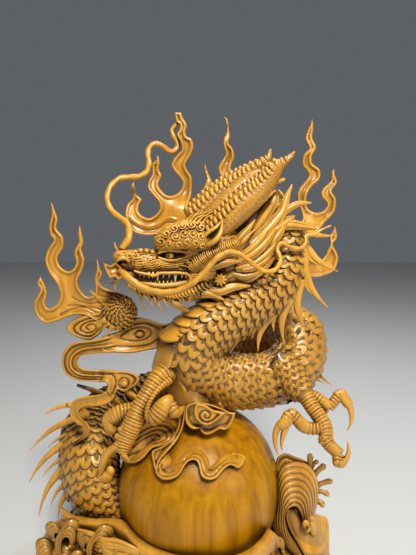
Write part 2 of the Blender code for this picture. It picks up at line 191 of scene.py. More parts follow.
def grid_faces(rows, columns):
    """Quads of a grid of rows by columns that closes round."""
    i, j = np.meshgrid(np.arange(rows - 1), np.arange(columns), indexing="ij")
    k = (j + 1) % columns
    corners = [i * columns + j, i * columns + k, (i + 1) * columns + k, (i + 1) * columns + j]
    return np.stack(corners, axis=-1).reshape(-1, 4)


def skin_faces(rows, around, turned=False):
    """Quads and end fans of a stack of rings that is followed by its first and its last point."""
    quads = grid_faces(rows, around)
    j = np.arange(around)
    after = (j + 1) % around
    end = (rows - 1) * around
    first = np.stack([np.full(around, rows * around), after, j], axis=1)
    last = np.stack([np.full(around, rows * around + 1), end + j, end + after], axis=1)
    fans = np.vstack([first, last])
    if turned:
        return quads[:, ::-1], fans[:, [0, 2, 1]]
    return quads, fans


def ball_rings(rows, around):
    """Rings of a ball of radius 1 between its two poles."""
    polar = np.linspace(0, np.pi, rows + 2)[1:-1, None]
    angle = np.linspace(0, 2 * np.pi, around, endpoint=False)[None]
    level = np.repeat(np.cos(polar), around, axis=1)
    return np.stack([np.sin(polar) * np.cos(angle), np.sin(polar) * np.sin(angle), level], axis=-1)


def row_at(along, place):
    """The row of a path that lies nearest to a place along it."""
    return int(np.argmin(np.abs(along - place)))


def tube_frames(path, facing):
    """The way along a path, the way of its facing side and the way across both, row by row."""
    tangent = np.gradient(path[:, :3], axis=0)
    tangent /= np.linalg.norm(tangent, axis=1, keepdims=True) + 1e-9
    side = facing - (facing * tangent).sum(axis=1, keepdims=True) * tangent
    side /= np.linalg.norm(side, axis=1, keepdims=True) + 1e-9
    return tangent, side, np.cross(tangent, side)


def tube(into, stations, around=14, step=1.2, bump=None, flat=1.0, dark=0.0, pale=0.0, blunt=0.3):
    """A closed tapered tube through (x, y, f, half width) stations. Angle 0 is toward the eye, or the way
    that three more columns give. bump(along, angle, radius, length) lifts its skin and darkens it."""
    path, along = run_through(stations, step)
    centre = path[:, :3]
    tangent, side, other = tube_frames(path, path[:, 4:7] if path.shape[1] >= 7 else TOWARD_EYE)
    radius = np.maximum(path[:, 3], 0.15)
    angle = np.linspace(0, 2 * np.pi, around, endpoint=False)
    reach = np.repeat(radius[:, None], around, axis=1)
    shade = np.full_like(reach, dark)
    if bump is not None:
        lift, shadow = bump(along[:, None], angle[None, :], radius[:, None], along[-1])
        reach = np.maximum(reach + lift, 0.1)
        shade = shade + shadow
    ring = np.cos(angle)[None, :, None] * side[:, None] + np.sin(angle)[None, :, None] * other[:, None]
    points = centre[:, None] + ring * reach[..., None]
    points[..., 2] = centre[:, None, 2] + (points[..., 2] - centre[:, None, 2]) * flat
    first = centre[0] - tangent[0] * radius[0] * blunt
    last = centre[-1] + tangent[-1] * radius[-1] * blunt
    every = np.vstack([points.reshape(-1, 3), first, last])
    shade = np.concatenate([shade.reshape(-1), [shade[0].mean(), shade[-1].mean()]])
    put(into, every, *skin_faces(len(path), around), shade, pale)


def blob(into, x, y, f, half, tall=None, deep=None, around=20, down=12, dark=0.0, pale=0.0):
    """A rounded lump with its own height and depth."""
    tall = half if tall is None else tall
    deep = half if deep is None else deep
    points = np.array([x, y, f]) + ball_rings(down - 1, around) * np.array([half, tall, deep])
    poles = np.array([[x, y, f + deep], [x, y, f - deep]])
    put(
        into, np.vstack([points.reshape(-1, 3), poles]), *skin_faces(down - 1, around, turned=True), dark,
        pale,
    )


def nearest(points, line, closed=False):
    """Distance of each flat point from a polyline."""
    a = line
    b = np.roll(line, -1, axis=0) if closed else line[1:]
    a = a if closed else line[:-1]
    best = np.full(len(points), 1e9)
    for chunk in range(0, len(a), 64):
        start, end = a[chunk:chunk + 64], b[chunk:chunk + 64]
        run = end - start
        size = (run ** 2).sum(axis=1) + 1e-9
        away = points[:, None] - start[None]
        t = np.clip((away * run[None]).sum(axis=2) / size[None], 0, 1)
        gap = np.linalg.norm(away - t[..., None] * run[None], axis=2)
        best = np.minimum(best, gap.min(axis=1))
    return best


def inside(points, line):
    """Whether each flat point lies within the closed polyline."""
    x, y = points[:, 0], points[:, 1]
    a, b = line, np.roll(line, -1, axis=0)
    found = np.zeros(len(points), bool)
    for (ax, ay), (bx, by) in zip(a, b):
        if ay == by:
            continue
        crossing = (ay > y) != (by > y)
        found ^= crossing & (x < (bx - ax) * (y - ay) / (by - ay) + ax)
    return found


def lean(*knots):
    """A smooth depth over the sheet through (x, y, f) knots."""
    knots = np.asarray(knots, float)

    def depth(points):
        away = ((points[:, None] - knots[None, :, :2]) ** 2).sum(axis=2) + 9.0
        weight = 1 / away ** 1.5
        return (weight * knots[None, :, 2]).sum(axis=1) / weight.sum(axis=1)

    return depth


def painted_shade_all_over(verts, away):
    """A relief that is flat and painted dark all over, as shade."""
    return np.zeros(len(verts)), np.ones(len(verts))


def slab(
    into, outline, depth, thick=6.0, spacing=1.0, relief=None, rim=0.9, rim_at=1.5, dish=1.6, dish_to=4.5,
    grooves=(), ridges=(), groove_depth=1.1, groove_half=0.9,
):
    """A carved plate with a smooth outline, a raised rim, a dished face and cut lines."""
    edge, _ = run_through(outline, spacing, closed=True)
    edge = edge[:, :2]
    after = np.roll(edge, -1, axis=0)
    if ((after[:, 0] - edge[:, 0]) * (after[:, 1] + edge[:, 1])).sum() > 0:
        edge = edge[::-1]
    low, high = edge.min(axis=0), edge.max(axis=0)
    grid_x = np.arange(low[0], high[0], spacing)
    grid_y = np.arange(low[1], high[1], spacing * 0.866)
    grid = np.array([(gx + (row % 2) * spacing / 2, gy) for row, gy in enumerate(grid_y) for gx in grid_x])
    grid = grid[inside(grid, edge)]
    if len(grid):
        grid = grid[nearest(grid, edge, closed=True) > spacing * 0.55]
    flat_points = np.vstack([edge, grid])
    links = [(k, (k + 1) % len(edge)) for k in range(len(edge))]
    flat_verts, _, faces, *_ = delaunay_2d_cdt([Vector(p) for p in flat_points], links, [], 1, 1e-5)
    verts = np.array([(v.x, v.y) for v in flat_verts])
    faces = np.array([face for face in faces if len(face) == 3])
    a, b, c = verts[faces[:, 0]], verts[faces[:, 1]], verts[faces[:, 2]]
    turned = ((b - a)[:, 0] * (c - a)[:, 1] - (b - a)[:, 1] * (c - a)[:, 0]) < 0
    faces[turned] = faces[turned][:, ::-1]
    count = len(verts)
    away = nearest(verts, edge, closed=True)
    shoulder = np.sqrt(np.clip(1 - (1 - np.clip(away / 1.3, 0, 1)) ** 2, 0, 1))
    height = thick / 2 * shoulder + rim * hump(away, rim_at, 1.0)
    height = height - dish * ease(rim_at, dish_to, away)
    # Painted shade in the dish and in the cut lines.
    shade = 0.16 * ease(rim_at, dish_to, away) * hump(away, 3.2, 2.2)
    for line in grooves:
        fine, _ = run_through(line, 0.8)
        gap = nearest(verts, fine[:, :2])
        cut = hump(gap, 0.0, groove_half)
        height = height - groove_depth * cut * ease(0.6, 2.0, away)
        shade = shade + 0.34 * cut ** 2
    for line in ridges:
        fine, _ = run_through(line, 0.8)
        gap = nearest(verts, fine[:, :2])
        height = height + groove_depth * hump(gap, 0.0, groove_half)
    if relief is not None:
        more, shadow = relief(verts, away)
        height = height + more
        shade = shade + shadow
    height = np.maximum(height, -thick * 0.25)
    middle = depth(verts)
    back = thick / 2 * shoulder * (1 - 0.2 * ease(0, 6, away))
    front_points = np.column_stack([verts, middle + height])
    back_points = np.column_stack([verts, middle - back])
    sides = [(p, q) for a, b, c in faces.tolist() for p, q in ((a, b), (b, c), (c, a))]
    known = set(sides)
    border = [(p, q) for p, q in dict.fromkeys(sides) if (q, p) not in known]
    walls = [(q, p, p + count, q + count) for p, q in border]
    every = np.vstack([front_points, back_points])
    shade = np.concatenate([shade, np.zeros(count)])
    put(into, every, walls, np.vstack([faces, faces[:, ::-1] + count]), shade)


def band(into, left, right, profile, across, step, thick):
    """A ribbon between two edge lines, with profile(v, along) lifting its face toward the eye."""
    first, _ = run_through(left, step)
    count = len(first)
    fine, _ = run_through(right, 0.3)
    second = fine[np.linspace(0, len(fine) - 1, count).round().astype(int)]
    v = np.linspace(0, 1, across)
    along = np.linspace(0, 1, count)[:, None]
    face = first[:, None, :3] * (1 - v)[None, :, None] + second[:, None, :3] * v[None, :, None]
    lift, shade = profile(v[None, :], along)
    lift = np.broadcast_to(lift, (count, across))
    shade = np.broadcast_to(shade, (count, across))
    edge = np.sqrt(np.clip(1 - (2 * v - 1) ** 2, 0.0, 1))
    front = face.copy()
    front[..., 2] += lift + 0.2
    rear = face[:, ::-1].copy()
    rear[..., 2] -= thick * np.maximum(edge[::-1], 0.15)[None, :]
    ring = np.concatenate([front, rear], axis=1)
    columns = across * 2
    shade = np.concatenate([shade, np.zeros((count, across))], axis=1)
    ends = [ring[0].mean(axis=0), ring[-1].mean(axis=0)]
    every = np.vstack([ring.reshape(-1, 3), ends])
    put(into, every, *skin_faces(count, columns, turned=True), np.concatenate([shade.reshape(-1), [0, 0]]))


def node(tree, kind, **values):
    """A shader node with its inputs or settings given by name."""
    made = tree.nodes.new(kind)
    for key, value in values.items():
        if key in made.inputs:
            made.inputs[key].default_value = value
        else:
            setattr(made, key, value)
    return made


def ramp(tree, source, *stops):
    """A colour ramp over a value, from (place, colour) stops."""
    made = tree.nodes.new("ShaderNodeValToRGB")
    tree.links.new(source, made.inputs[0])
    elements = made.color_ramp.elements
    while len(elements) < len(stops):
        elements.new(0.5)
    for element, (place, colour) in zip(elements, stops):
        element.position = place
        element.color = (*colour, 1)
    return made.outputs["Color"]


def mix(tree, share, first, second, way="MIX"):
    """Two colours mixed by a share, each of the three a number, a colour or another node's output."""
    made = tree.nodes.new("ShaderNodeMix")
    made.data_type = "RGBA"
    made.blend_type = way
    for index, value in ((0, share), (6, first), (7, second)):
        if isinstance(value, (int, float)):
            made.inputs[index].default_value = value
        elif isinstance(value, tuple):
            made.inputs[index].default_value = (*value, 1)
        else:
            tree.links.new(value, made.inputs[index])
    return made.outputs[2]


# Scales of the pores and of the soft patches, the reach of the painted shade and staining in recesses, and
# the colours.
PORES, PATCHES = 420.0, 9.0
RECESS_REACH = 0.014
COAT_ROUGH = 0.22
LIGHT = (0.72, 0.37, 0.036)
MIDDLE = (0.47, 0.208, 0.014)
DEEP = (0.24, 0.088, 0.007)
STAIN_AND_SHADE = (0.030, 0.010, 0.003)
BARE = (0.80, 0.62, 0.34)
GLOBE_TONES = ((0.46, 0.215, 0.001), (0.34, 0.143, 0.0005), (0.18, 0.060, 0.0005), (0.07, 0.025, 0.001))


def grey(value):
    """A value as a colour."""
    return (value, value, value)


def carved_wood(
    name, light, middle, deep, stain_and_shade, grain_way=(1.0, 1.0, 0.12), grain_scale=60.0, rough=(0.28, 0.5),
    coat=0.35, streaks=0.5, relief=(0.3, 0.0007),
):
    """Waxed wood: grain along the block, recesses darkened by staining and painted shade, rubbed edges and
    soft patches.
    """
    made = bpy.data.materials.new(name)
    made.use_nodes = True
    tree = made.node_tree
    shader = tree.nodes["Principled BSDF"]
    place = tree.nodes.new("ShaderNodeTexCoord").outputs["Object"]
    stretch = tree.nodes.new("ShaderNodeMapping")
    stretch.inputs["Scale"].default_value = grain_way
    tree.links.new(place, stretch.inputs["Vector"])
    grain = node(tree, "ShaderNodeTexNoise", Scale=grain_scale, Detail=8.0, Roughness=0.62, Distortion=0.4)
    tree.links.new(stretch.outputs[0], grain.inputs["Vector"])
    patch = node(tree, "ShaderNodeTexNoise", Scale=PATCHES, Detail=4.0, Roughness=0.55)
    tree.links.new(place, patch.inputs["Vector"])
    pores = node(tree, "ShaderNodeTexNoise", Scale=PORES, Detail=3.0, Roughness=0.6)
    tree.links.new(stretch.outputs[0], pores.inputs["Vector"])
    tone = ramp(tree, grain.outputs["Fac"], (0.3, deep), (0.47, middle), (0.62, light))
    patchy = ramp(tree, patch.outputs["Fac"], (0.34, middle), (0.60, light))
    colour = mix(tree, 1 - streaks, tone, patchy)
    dark = node(tree, "ShaderNodeAttribute", attribute_name="dark").outputs["Fac"]
    pale = node(tree, "ShaderNodeAttribute", attribute_name="pale").outputs["Fac"]
    # Hollows are darkened toward the dark colour, as staining and painted shade; rubbed crests are lighter.
    bend = tree.nodes.new("ShaderNodeNewGeometry").outputs["Pointiness"]
    hollow = ramp(tree, bend, (0.40, grey(1)), (0.49, grey(0)))
    crest = ramp(tree, bend, (0.505, grey(0)), (0.56, grey(1)))
    colour = mix(tree, hollow, colour, stain_and_shade)
    colour = mix(tree, mix(tree, 1.0, crest, grey(0.5), "MULTIPLY"), colour, light)
    # The dark attribute paints shade into cuts, gaps, hollows and under overlaps, and carries a few real
    # dark marks.
    shadow = tree.nodes.new("ShaderNodeMath")
    shadow.operation = "MULTIPLY"
    shadow.use_clamp = True
    shadow.inputs[1].default_value = 0.95
    tree.links.new(dark, shadow.inputs[0])
    colour = mix(tree, shadow.outputs[0], colour, stain_and_shade)
    # Recesses that ambient occlusion finds are darkened, as staining and painted shade.
    shut = node(tree, "ShaderNodeAmbientOcclusion", Distance=RECESS_REACH)
    shut.samples = 6
    recess = ramp(tree, shut.outputs["AO"], (0.28, grey(0.95)), (0.58, grey(0.46)), (0.92, grey(0)))
    colour = mix(tree, recess, colour, stain_and_shade)
    colour = mix(tree, pale, colour, BARE)
    tree.links.new(colour, shader.inputs["Base Color"])
    shine = tree.nodes.new("ShaderNodeMapRange")
    shine.inputs["To Min"].default_value = rough[0]
    shine.inputs["To Max"].default_value = rough[1]
    tree.links.new(grain.outputs["Fac"], shine.inputs["Value"])
    tree.links.new(shine.outputs[0], shader.inputs["Roughness"])
    shader.inputs["Coat Weight"].default_value = coat
    shader.inputs["Coat Roughness"].default_value = COAT_ROUGH
    bump = node(tree, "ShaderNodeBump", Strength=relief[0], Distance=relief[1])
    tree.links.new(pores.outputs["Fac"], bump.inputs["Height"])
    tree.links.new(bump.outputs[0], shader.inputs["Normal"])
    return made


wood = carved_wood("carved_wood", LIGHT, MIDDLE, DEEP, STAIN_AND_SHADE)
horn_wood = carved_wood("horn_wood", LIGHT, MIDDLE, DEEP, STAIN_AND_SHADE, relief=(0.8, 0.0012))
globe_wood = carved_wood(
    "globe_wood", *GLOBE_TONES, grain_way=(1.0, 1.0, 0.07), grain_scale=52.0, rough=(0.26, 0.42), coat=0.05,
    streaks=0.85,
)
globe_wood.node_tree.nodes["Principled BSDF"].inputs["Specular IOR Level"].default_value = 0.32

# The globe.
GLOBE_ROWS, GLOBE_AROUND = 84, 132
globe = heap()
unit = ball_rings(GLOBE_ROWS, GLOBE_AROUND)
uneven = 1 + 0.0022 * waves(unit, 0.9, seed=3)
globe_points = at(GLOBE_PLACE) + unit * uneven[..., None] * GLOBE_RADIUS * SQUARE
poles = at(GLOBE_PLACE) + np.array([[0, 0, 1], [0, 0, -1]]) * GLOBE_RADIUS * SQUARE
put(
    globe, np.vstack([globe_points.reshape(-1, 3), poles]),
    *skin_faces(GLOBE_ROWS, GLOBE_AROUND, turned=True),
)

# The base: a mound of flowing waves, plainer where the photo doesn't show it.
BASE_MIDDLE = np.array([-0.046, 0.01]) * PART_TALL
BASE_HALF = np.array([0.298, 0.225]) * PART_TALL
base = heap()
BASE_AROUND, BASE_ROWS = 250, 60
BASE_TALL = 0.18 * PART_TALL
profile_up = np.array([0.0, 0.0, 0.05, 0.12, 0.165, 0.18]) * PART_TALL
profile_out = np.array([0.0, 0.985, 1.0, 0.955, 0.79, 0.5])
share = np.concatenate([[0.0], np.cumsum(np.hypot(np.diff(profile_up) / BASE_TALL, np.diff(profile_out)))])
share[1:] = (share[1:] - share[1]) / (share[-1] - share[1])
spots = np.linspace(0, 1, BASE_ROWS)
ups = np.interp(spots, share[1:], profile_up[1:])
outs = np.interp(spots, share[1:], profile_out[1:])
turn = np.linspace(0, 2 * np.pi, BASE_AROUND, endpoint=False)
angle, height = np.meshgrid(turn, ups, indexing="xy")
out = np.repeat(outs[:, None], BASE_AROUND, axis=1)
lobe = 1 + 0.035 * np.cos(9 * angle + 12 * height / PART_TALL)
flow = angle * 9 + height * 0.10 + 1.3 * np.sin(angle * 4 + height * 0.05)
ridge = np.abs(np.sin(flow * 1.5 + 0.6 * np.sin(height * 0.12 + angle * 2)))
swirl = 2.2 * (ridge ** 0.7 - 0.6) * ease(0, 14, height) * (1 - 0.3 * ease(70, 90, height))
base_x = BASE_MIDDLE[0] + (BASE_HALF[0] * out * lobe + swirl) * np.cos(angle)
base_y = BASE_MIDDLE[1] + (BASE_HALF[1] * out * lobe + swirl) * np.sin(angle)
base_points = np.stack([base_x, base_y, height], axis=-1) * SQUARE
caps = np.array([[BASE_MIDDLE[0], BASE_MIDDLE[1], 0], [BASE_MIDDLE[0], BASE_MIDDLE[1], ups[-1]]]) * SQUARE
every = np.vstack([base_points.reshape(-1, 3), caps])
# Painted shade in the grooves between the ridges.
shade = np.concatenate([(0.9 * (1 - ease(0.0, 0.45, ridge)) * ease(0, 14, height)).reshape(-1), [0, 0]])
put(base, every, *skin_faces(BASE_ROWS, BASE_AROUND), shade)

# The dragon's body: place, half width, and the way its spined back faces.
BODY = (
    (82, 46, 14, 15.5, 1, 0.1, -0.4), (81, 26, 18, 15.5, 1, 0, -0.4), (77, 4, 22, 18.5, 1, -0.3, -0.3),
    (62, -14, 26, 22, 0.6, -1, -0.2), (26, -36, 34, 25, 0.5, -1, -0.1), (-2, -54, 38, 27, 0.6, -0.9, -0.3),
    (-19, -76, 34, 30, 1, -0.2, -0.4), (0, -97, 18, 29, 0.4, 1, 0.0), (30, -104, 8, 27, 0, 1, 0.1),
    (64, -101, 0, 26, 0.2, 1, 0.0), (87, -86, -14, 26, 0.9, 0.5, 0.4), (90, -60, -34, 25, 1, 0.4, -0.2),
    (76, -58, -62, 25, 0.6, 1, -0.6), (40, -84, -88, 25, 0, 1, -0.8), (-20, -112, -98, 26, 0, 1, -0.8),
    (-78, -130, -82, 27, -0.3, 1, -0.8), (-112, -150, -44, 28, -0.7, 0.8, -0.4),
    (-119, -180, -6, 29, -1, 0.2, 0), (-114, -210, 4, 28, -1, 0, 0), (-96, -236, 6, 22, -0.6, -0.6, 0),
    (-66, -254, 6, 13, -0.3, -1, 0),
)
# Each ring's rise, and how dark it is painted as shade: the pit, the cut line and the wall under the free
# edge.
SCALE_RINGS = np.array([0.10, 0.17, 0.74, 0.81, 0.88, 1.02, 1.03])
SCALE_LIFTS = np.array([-0.12, 0.05, 0.12, 0.06, 0.14, 0.02, -0.50])
SCALE_SHADES = np.array([1.0, 0.4, 0.0, 0.45, 0.0, 0.5, 1.0])
ROOT_LONG = 1.75


def scale_shape(aside, behind, around):
    """One scale: a drilled dot, a cut line along its round free end, and a root under the rows before."""
    turn = np.linspace(0, 2 * np.pi, around, endpoint=False)
    u = np.append((SCALE_RINGS[:, None] * np.cos(turn)[None]).ravel(), 0)
    v = np.append((SCALE_RINGS[:, None] * np.sin(turn)[None]).ravel(), 0)
    w = np.append(np.repeat(SCALE_LIFTS, around), -0.2)
    shade = np.append(np.repeat(SCALE_SHADES, around), 1.0)
    rootward = (v < 0.2) & (np.hypot(u, v) > 0.5)
    w = np.where(rootward, 0.12, w)
    shade = np.where(rootward, 0.0, shade)
    v = np.where(v < 0, v * ROOT_LONG, v)
    w = w + 0.30 * (v + 0.2) - 0.10 * u ** 2
    gap = np.hypot(np.abs(u) - aside, v + behind) - 1.0
    # A crescent of painted shadow just beyond the free ends of the scales that lap over this one.
    shade = np.maximum(shade, np.exp(-np.maximum(gap, 0) / 0.11) * (v < 0.5))
    return u, v, w, shade


def lay_scales(into, path, side, other, starts, pitch, size, keep, around=12, seed=0):
    """Overlapping round scales in rows round a limb. starts are the row indices along the path."""
    rng = np.random.default_rng(seed)
    step = float(np.median(np.diff(starts)))
    u, v, w, shade = scale_shape(pitch / 2 / size, step / size, around)
    quads = grid_faces(len(SCALE_RINGS), around)[:, ::-1]
    fans = np.array([(len(SCALE_RINGS) * around, j, (j + 1) % around) for j in range(around)])
    places, tails, acrosses, normals = [], [], [], []

    def way_out(k, angle):
        return np.cos(angle) * side[k] + np.sin(angle) * other[k]

    for number, k in enumerate(starts):
        centre, radius = path[k, :3], path[k, 3]
        count = max(int(round(2 * np.pi * radius / pitch)), 5)
        near, far = max(k - 3, 0), min(k + 3, len(path) - 1)
        for j in range(count):
            angle = (j + 0.5 * (number % 2)) * 2 * np.pi / count
            normal = way_out(k, angle)
            place = centre + normal * radius
            if not keep(place, normal, angle, k):
                continue
            before = path[near, :3] + path[near, 3] * way_out(near, angle)
            after = path[far, :3] + path[far, 3] * way_out(far, angle)
            run = after - before
            stretch = np.clip(np.linalg.norm(run) / (far - near), 0.55, 1.9)
            tail = run / (np.linalg.norm(run) + 1e-9)
            across = np.cross(tail, normal)
            places.append(place)
            normals.append(normal)
            tails.append(tail * stretch)
            acrosses.append(across * (1 + rng.uniform(-0.03, 0.03)))
    places, tails = np.array(places), np.array(tails)
    acrosses, normals = np.array(acrosses), np.array(normals)
    u, v, w = u[None, :, None], v[None, :, None], w[None, :, None]
    points = places[:, None] + size * (u * acrosses[:, None] + v * tails[:, None] + w * normals[:, None])
    count = len(places)
    offset = (np.arange(count) * len(shade))[:, None, None]
    put(
        into, points.reshape(-1, 3), (quads[None] + offset).reshape(-1, 4),
        (fans[None] + offset).reshape(-1, 3), np.tile(shade, count),
    )


def lay_scutes(into, path, side, other, starts, half_turn, length):
    """Broad belly plates, each lapping over the next, on the side away from the spines."""
    across, down, lift = 19, 12, 0.6
    place_across = np.linspace(-1, 1, across)
    for k in starts:
        if k >= len(path) - 4:
            continue
        centre, radius = path[k, :3], path[k, 3]
        near, far = max(k - 3, 0), min(k + 3, len(path) - 1)
        run = (path[far, :3] - path[far, 3] * side[far]) - (path[near, :3] - path[near, 3] * side[near])
        stretch = np.clip(np.linalg.norm(run) / (far - near), 0.7, 2.2)
        tail = run / np.linalg.norm(run)
        angle = np.pi + half_turn * place_across
        v = np.linspace(-0.35, 1.0, down)
        round_end = 1 - 0.55 * np.abs(place_across) ** 2.6
        span = length * stretch * (v[:, None] * np.where(v[:, None] > 0, round_end[None], 1.0))
        swell = 0.4 + 3.0 * ease(-0.35, 0.85, v) - 3.6 * ease(0.93, 1.0, v)
        reach = radius + lift + swell[:, None] * (1 - 0.35 * place_across[None] ** 2)
        normal = np.cos(angle)[:, None] * side[k] + np.sin(angle)[:, None] * other[k]
        front = centre + span[..., None] * tail + reach[..., None] * normal[None]
        back = centre + span[..., None] * tail + normal[None] * (radius - 4) * np.ones((down, 1, 1))
        # Painted shade where each plate runs under the one before and where its free end drops.
        shade = np.repeat(np.maximum(1 - ease(-0.35, 0.12, v), ease(0.94, 1.0, v))[:, None], across, axis=1)
        every = np.concatenate([front, back[:, ::-1]], axis=1)
        every = np.vstack([every.reshape(-1, 3), every[0].mean(axis=0), every[-1].mean(axis=0)])
        shade = np.concatenate([np.concatenate([shade, np.zeros_like(shade)], axis=1).ravel(), [0, 0]])
        put(into, every, *skin_faces(down, across * 2), shade)


body = heap()
# The core that shows between the scales, painted dark as shade.
tube(body, BODY, around=48, step=3.0, dark=0.7)
path, along = run_through(BODY, 1.0)
path[:, 3] -= 0.2
_, dorsal, flank = tube_frames(path, path[:, 4:7])
SPACE_PATH = at(path[:, :3]) / SQUARE
GLOBE_SPACE = at(GLOBE_PLACE) / SQUARE
# How high the base hides the body, and how far along the body another bend begins.
BASE_COVERS = 84
OTHER_BEND = 70


def shows(place, normal, angle, k):
    """Leaves out scales buried in the globe, the base or another bend of the body."""
    spot = at(place) / SQUARE
    if np.linalg.norm(spot - GLOBE_SPACE) < GLOBE_RADIUS - 2:
        return False
    level = np.hypot(*((spot[:2] - BASE_MIDDLE) / BASE_HALF))
    if spot[2] < BASE_COVERS and level < 0.93:
        return False
    away = np.linalg.norm(SPACE_PATH - spot, axis=1)
    far = np.abs(along - along[k]) > OTHER_BEND
    return not np.any(far & (away < path[:, 3] - 3))


# The neck's scales lie wider apart than those from the globe down to the tail.
NECK_TO = 232
NECK_ROW, LOW_ROW = 8.4, 8.0
BELLY_HALF = 0.62
rows_neck = [row_at(along, s) for s in np.arange(2, NECK_TO, NECK_ROW)]
rows_low = [row_at(along, s) for s in np.arange(NECK_TO, along[-1] - 4, LOW_ROW)]


def neck_keep(place, normal, angle, k):
    """Leaves out the belly, where the plates lie."""
    belly = abs(((angle + np.pi) % (2 * np.pi)) - np.pi) > np.pi - BELLY_HALF
    return not belly and shows(place, normal, angle, k)


def front_keep(place, normal, angle, k):
    """Keeps the scales that face the eye."""
    return normal[2] > -0.3


neck_scales, low_scales = heap(), heap()
lay_scales(neck_scales, path, dorsal, flank, rows_neck, 11.6, 6.4, neck_keep, seed=1)
lay_scales(low_scales, path, dorsal, flank, rows_low, 11.0, 6.1, shows, around=10, seed=2)
# The thigh, with smaller scales down to the ribbed leg.
THIGH = [(72, -88, 8, 20), (80, -97, 12, 17), (90, -110, 17, 13), (98, -119, 20, 9.5)]
thigh_path, _ = run_through(THIGH, 1.0)
_, thigh_side, thigh_other = tube_frames(thigh_path, TOWARD_EYE)
thigh_rows = list(range(4, len(thigh_path) - 4, 6))
lay_scales(low_scales, thigh_path, thigh_side, thigh_other, thigh_rows, 8.6, 4.9, front_keep, seed=3)
belly_rows = [row_at(along, s) for s in np.arange(60, 225, 11)]
lay_scutes(neck_scales, path, dorsal, flank, belly_rows, 0.74, 13)

THORN_TAPER = (
    (-0.14, 1.45), (-0.02, 1.2), (0.1, 0.92), (0.28, 0.72), (0.5, 0.52), (0.75, 0.28), (0.9, 0.14),
    (1.0, 0.05),
)


def thorn(into, root, tip, half, bow=0.09):
    """A curved spine with a shallow ridge, thick where it leaves the skin."""
    root, tip = np.array(root, float), np.array(tip, float)
    run = tip - root
    up = np.cross(run, (0, 0, 1.0))
    up /= np.linalg.norm(up) + 1e-9
    size = np.linalg.norm(run)
    stations = []
    for t, r in THORN_TAPER:
        spot = root + run * t + up * bow * size * math.sin(math.pi * max(t, 0))
        stations.append((*spot, max(half * r, 0.35)))

    def ridged(s, angle, radius, length):
        return 0.10 * radius * np.cos(angle * 2) * (1 - s / length), 0 * s

    tube(into, stations, around=12, step=1.8, bump=ridged, flat=0.5)


# The spines along the back: root x, y, tip x, y, forward, half width.
SPINES = (
    (90, 50, 127, 42, 10, 5.6), (94, 36, 130, 6, 20, 6.4), (95, 27, 110, 13, 22, 4.0),
    (94, 14, 120, -30, 22, 7.4), (94, 4, 104, -17, 24, 4.4), (89, -10, 98, -53, 26, 7.2),
    (84, -18, 87.5, -40, 28, 4.2), (79, -24, 76, -66, 30, 6.8), (67, -36, 66, -54, 32, 4.2),
    (60, -40, 50, -74, 34, 6.0), (50, -47, 44, -61, 36, 4.0), (43, -50, 22, -76, 36, 5.8),
    (92, -48, 111, -48, -36, 3.2), (94, -60, 99, -59, -32, 2.4), (94, -65, 124, -74, -30, 4.2),
    (98, -73, 111, -78, -24, 2.8), (102, -80, 124, -108, -18, 4.2), (104, -94, 116, -106, -12, 2.8),
    (-128, -140, -178, -173, -6, 5.0), (-136, -156, -160, -170, -4, 3.0), (-138, -163, -179, -205, -2, 5.2),
    (-143, -180, -165, -199, 0, 3.0), (-144, -190, -169, -238, 2, 5.0), (-143, -206, -157, -228, 4, 3.0),
    (-140, -214, -150, -242, 4, 4.0),
)
thorns = heap()
for root_x, root_y, tip_x, tip_y, forward, half in SPINES:
    thorn(thorns, (root_x, root_y, forward), (tip_x, tip_y, forward), half)


def joined(s, angle, radius, length):
    """The line where a spike's end was joined on."""
    line = hump(s / length, 0.42, 0.03)
    return -0.5 * line + 0.25 * (s / length < 0.42) + 0 * angle, 0.9 * line + 0 * angle


# The mended spike at the left.
tube(
    thorns,
    [
        (-124, -125, 28, 3.6), (-134, -127, 28, 3.0), (-142, -128, 28, 2.5), (-150, -130, 28, 1.9),
        (-158, -133.4, 28, 1.1), (-163, -137, 28, 0.3),
    ],
    around=14, step=0.8, bump=joined, flat=0.8,
)


def dark_tip(s, angle, radius, length):
    """A spike whose tip is dark."""
    return 0.12 * np.cos(3 * angle) + 0 * s, 0.95 * ease(0.70, 0.80, s / length) + 0 * angle


# The dark one beside it.
tube(
    thorns,
    [
        (-96, -124, -44, 4), (-106, -116.6, -46, 3.2), (-116, -112.4, -46, 2.6), (-124, -109.8, -46, 2.0),
        (-131, -107.6, -46, 1.6),
    ],
    around=14, step=0.8, bump=dark_tip, blunt=0.2,
)

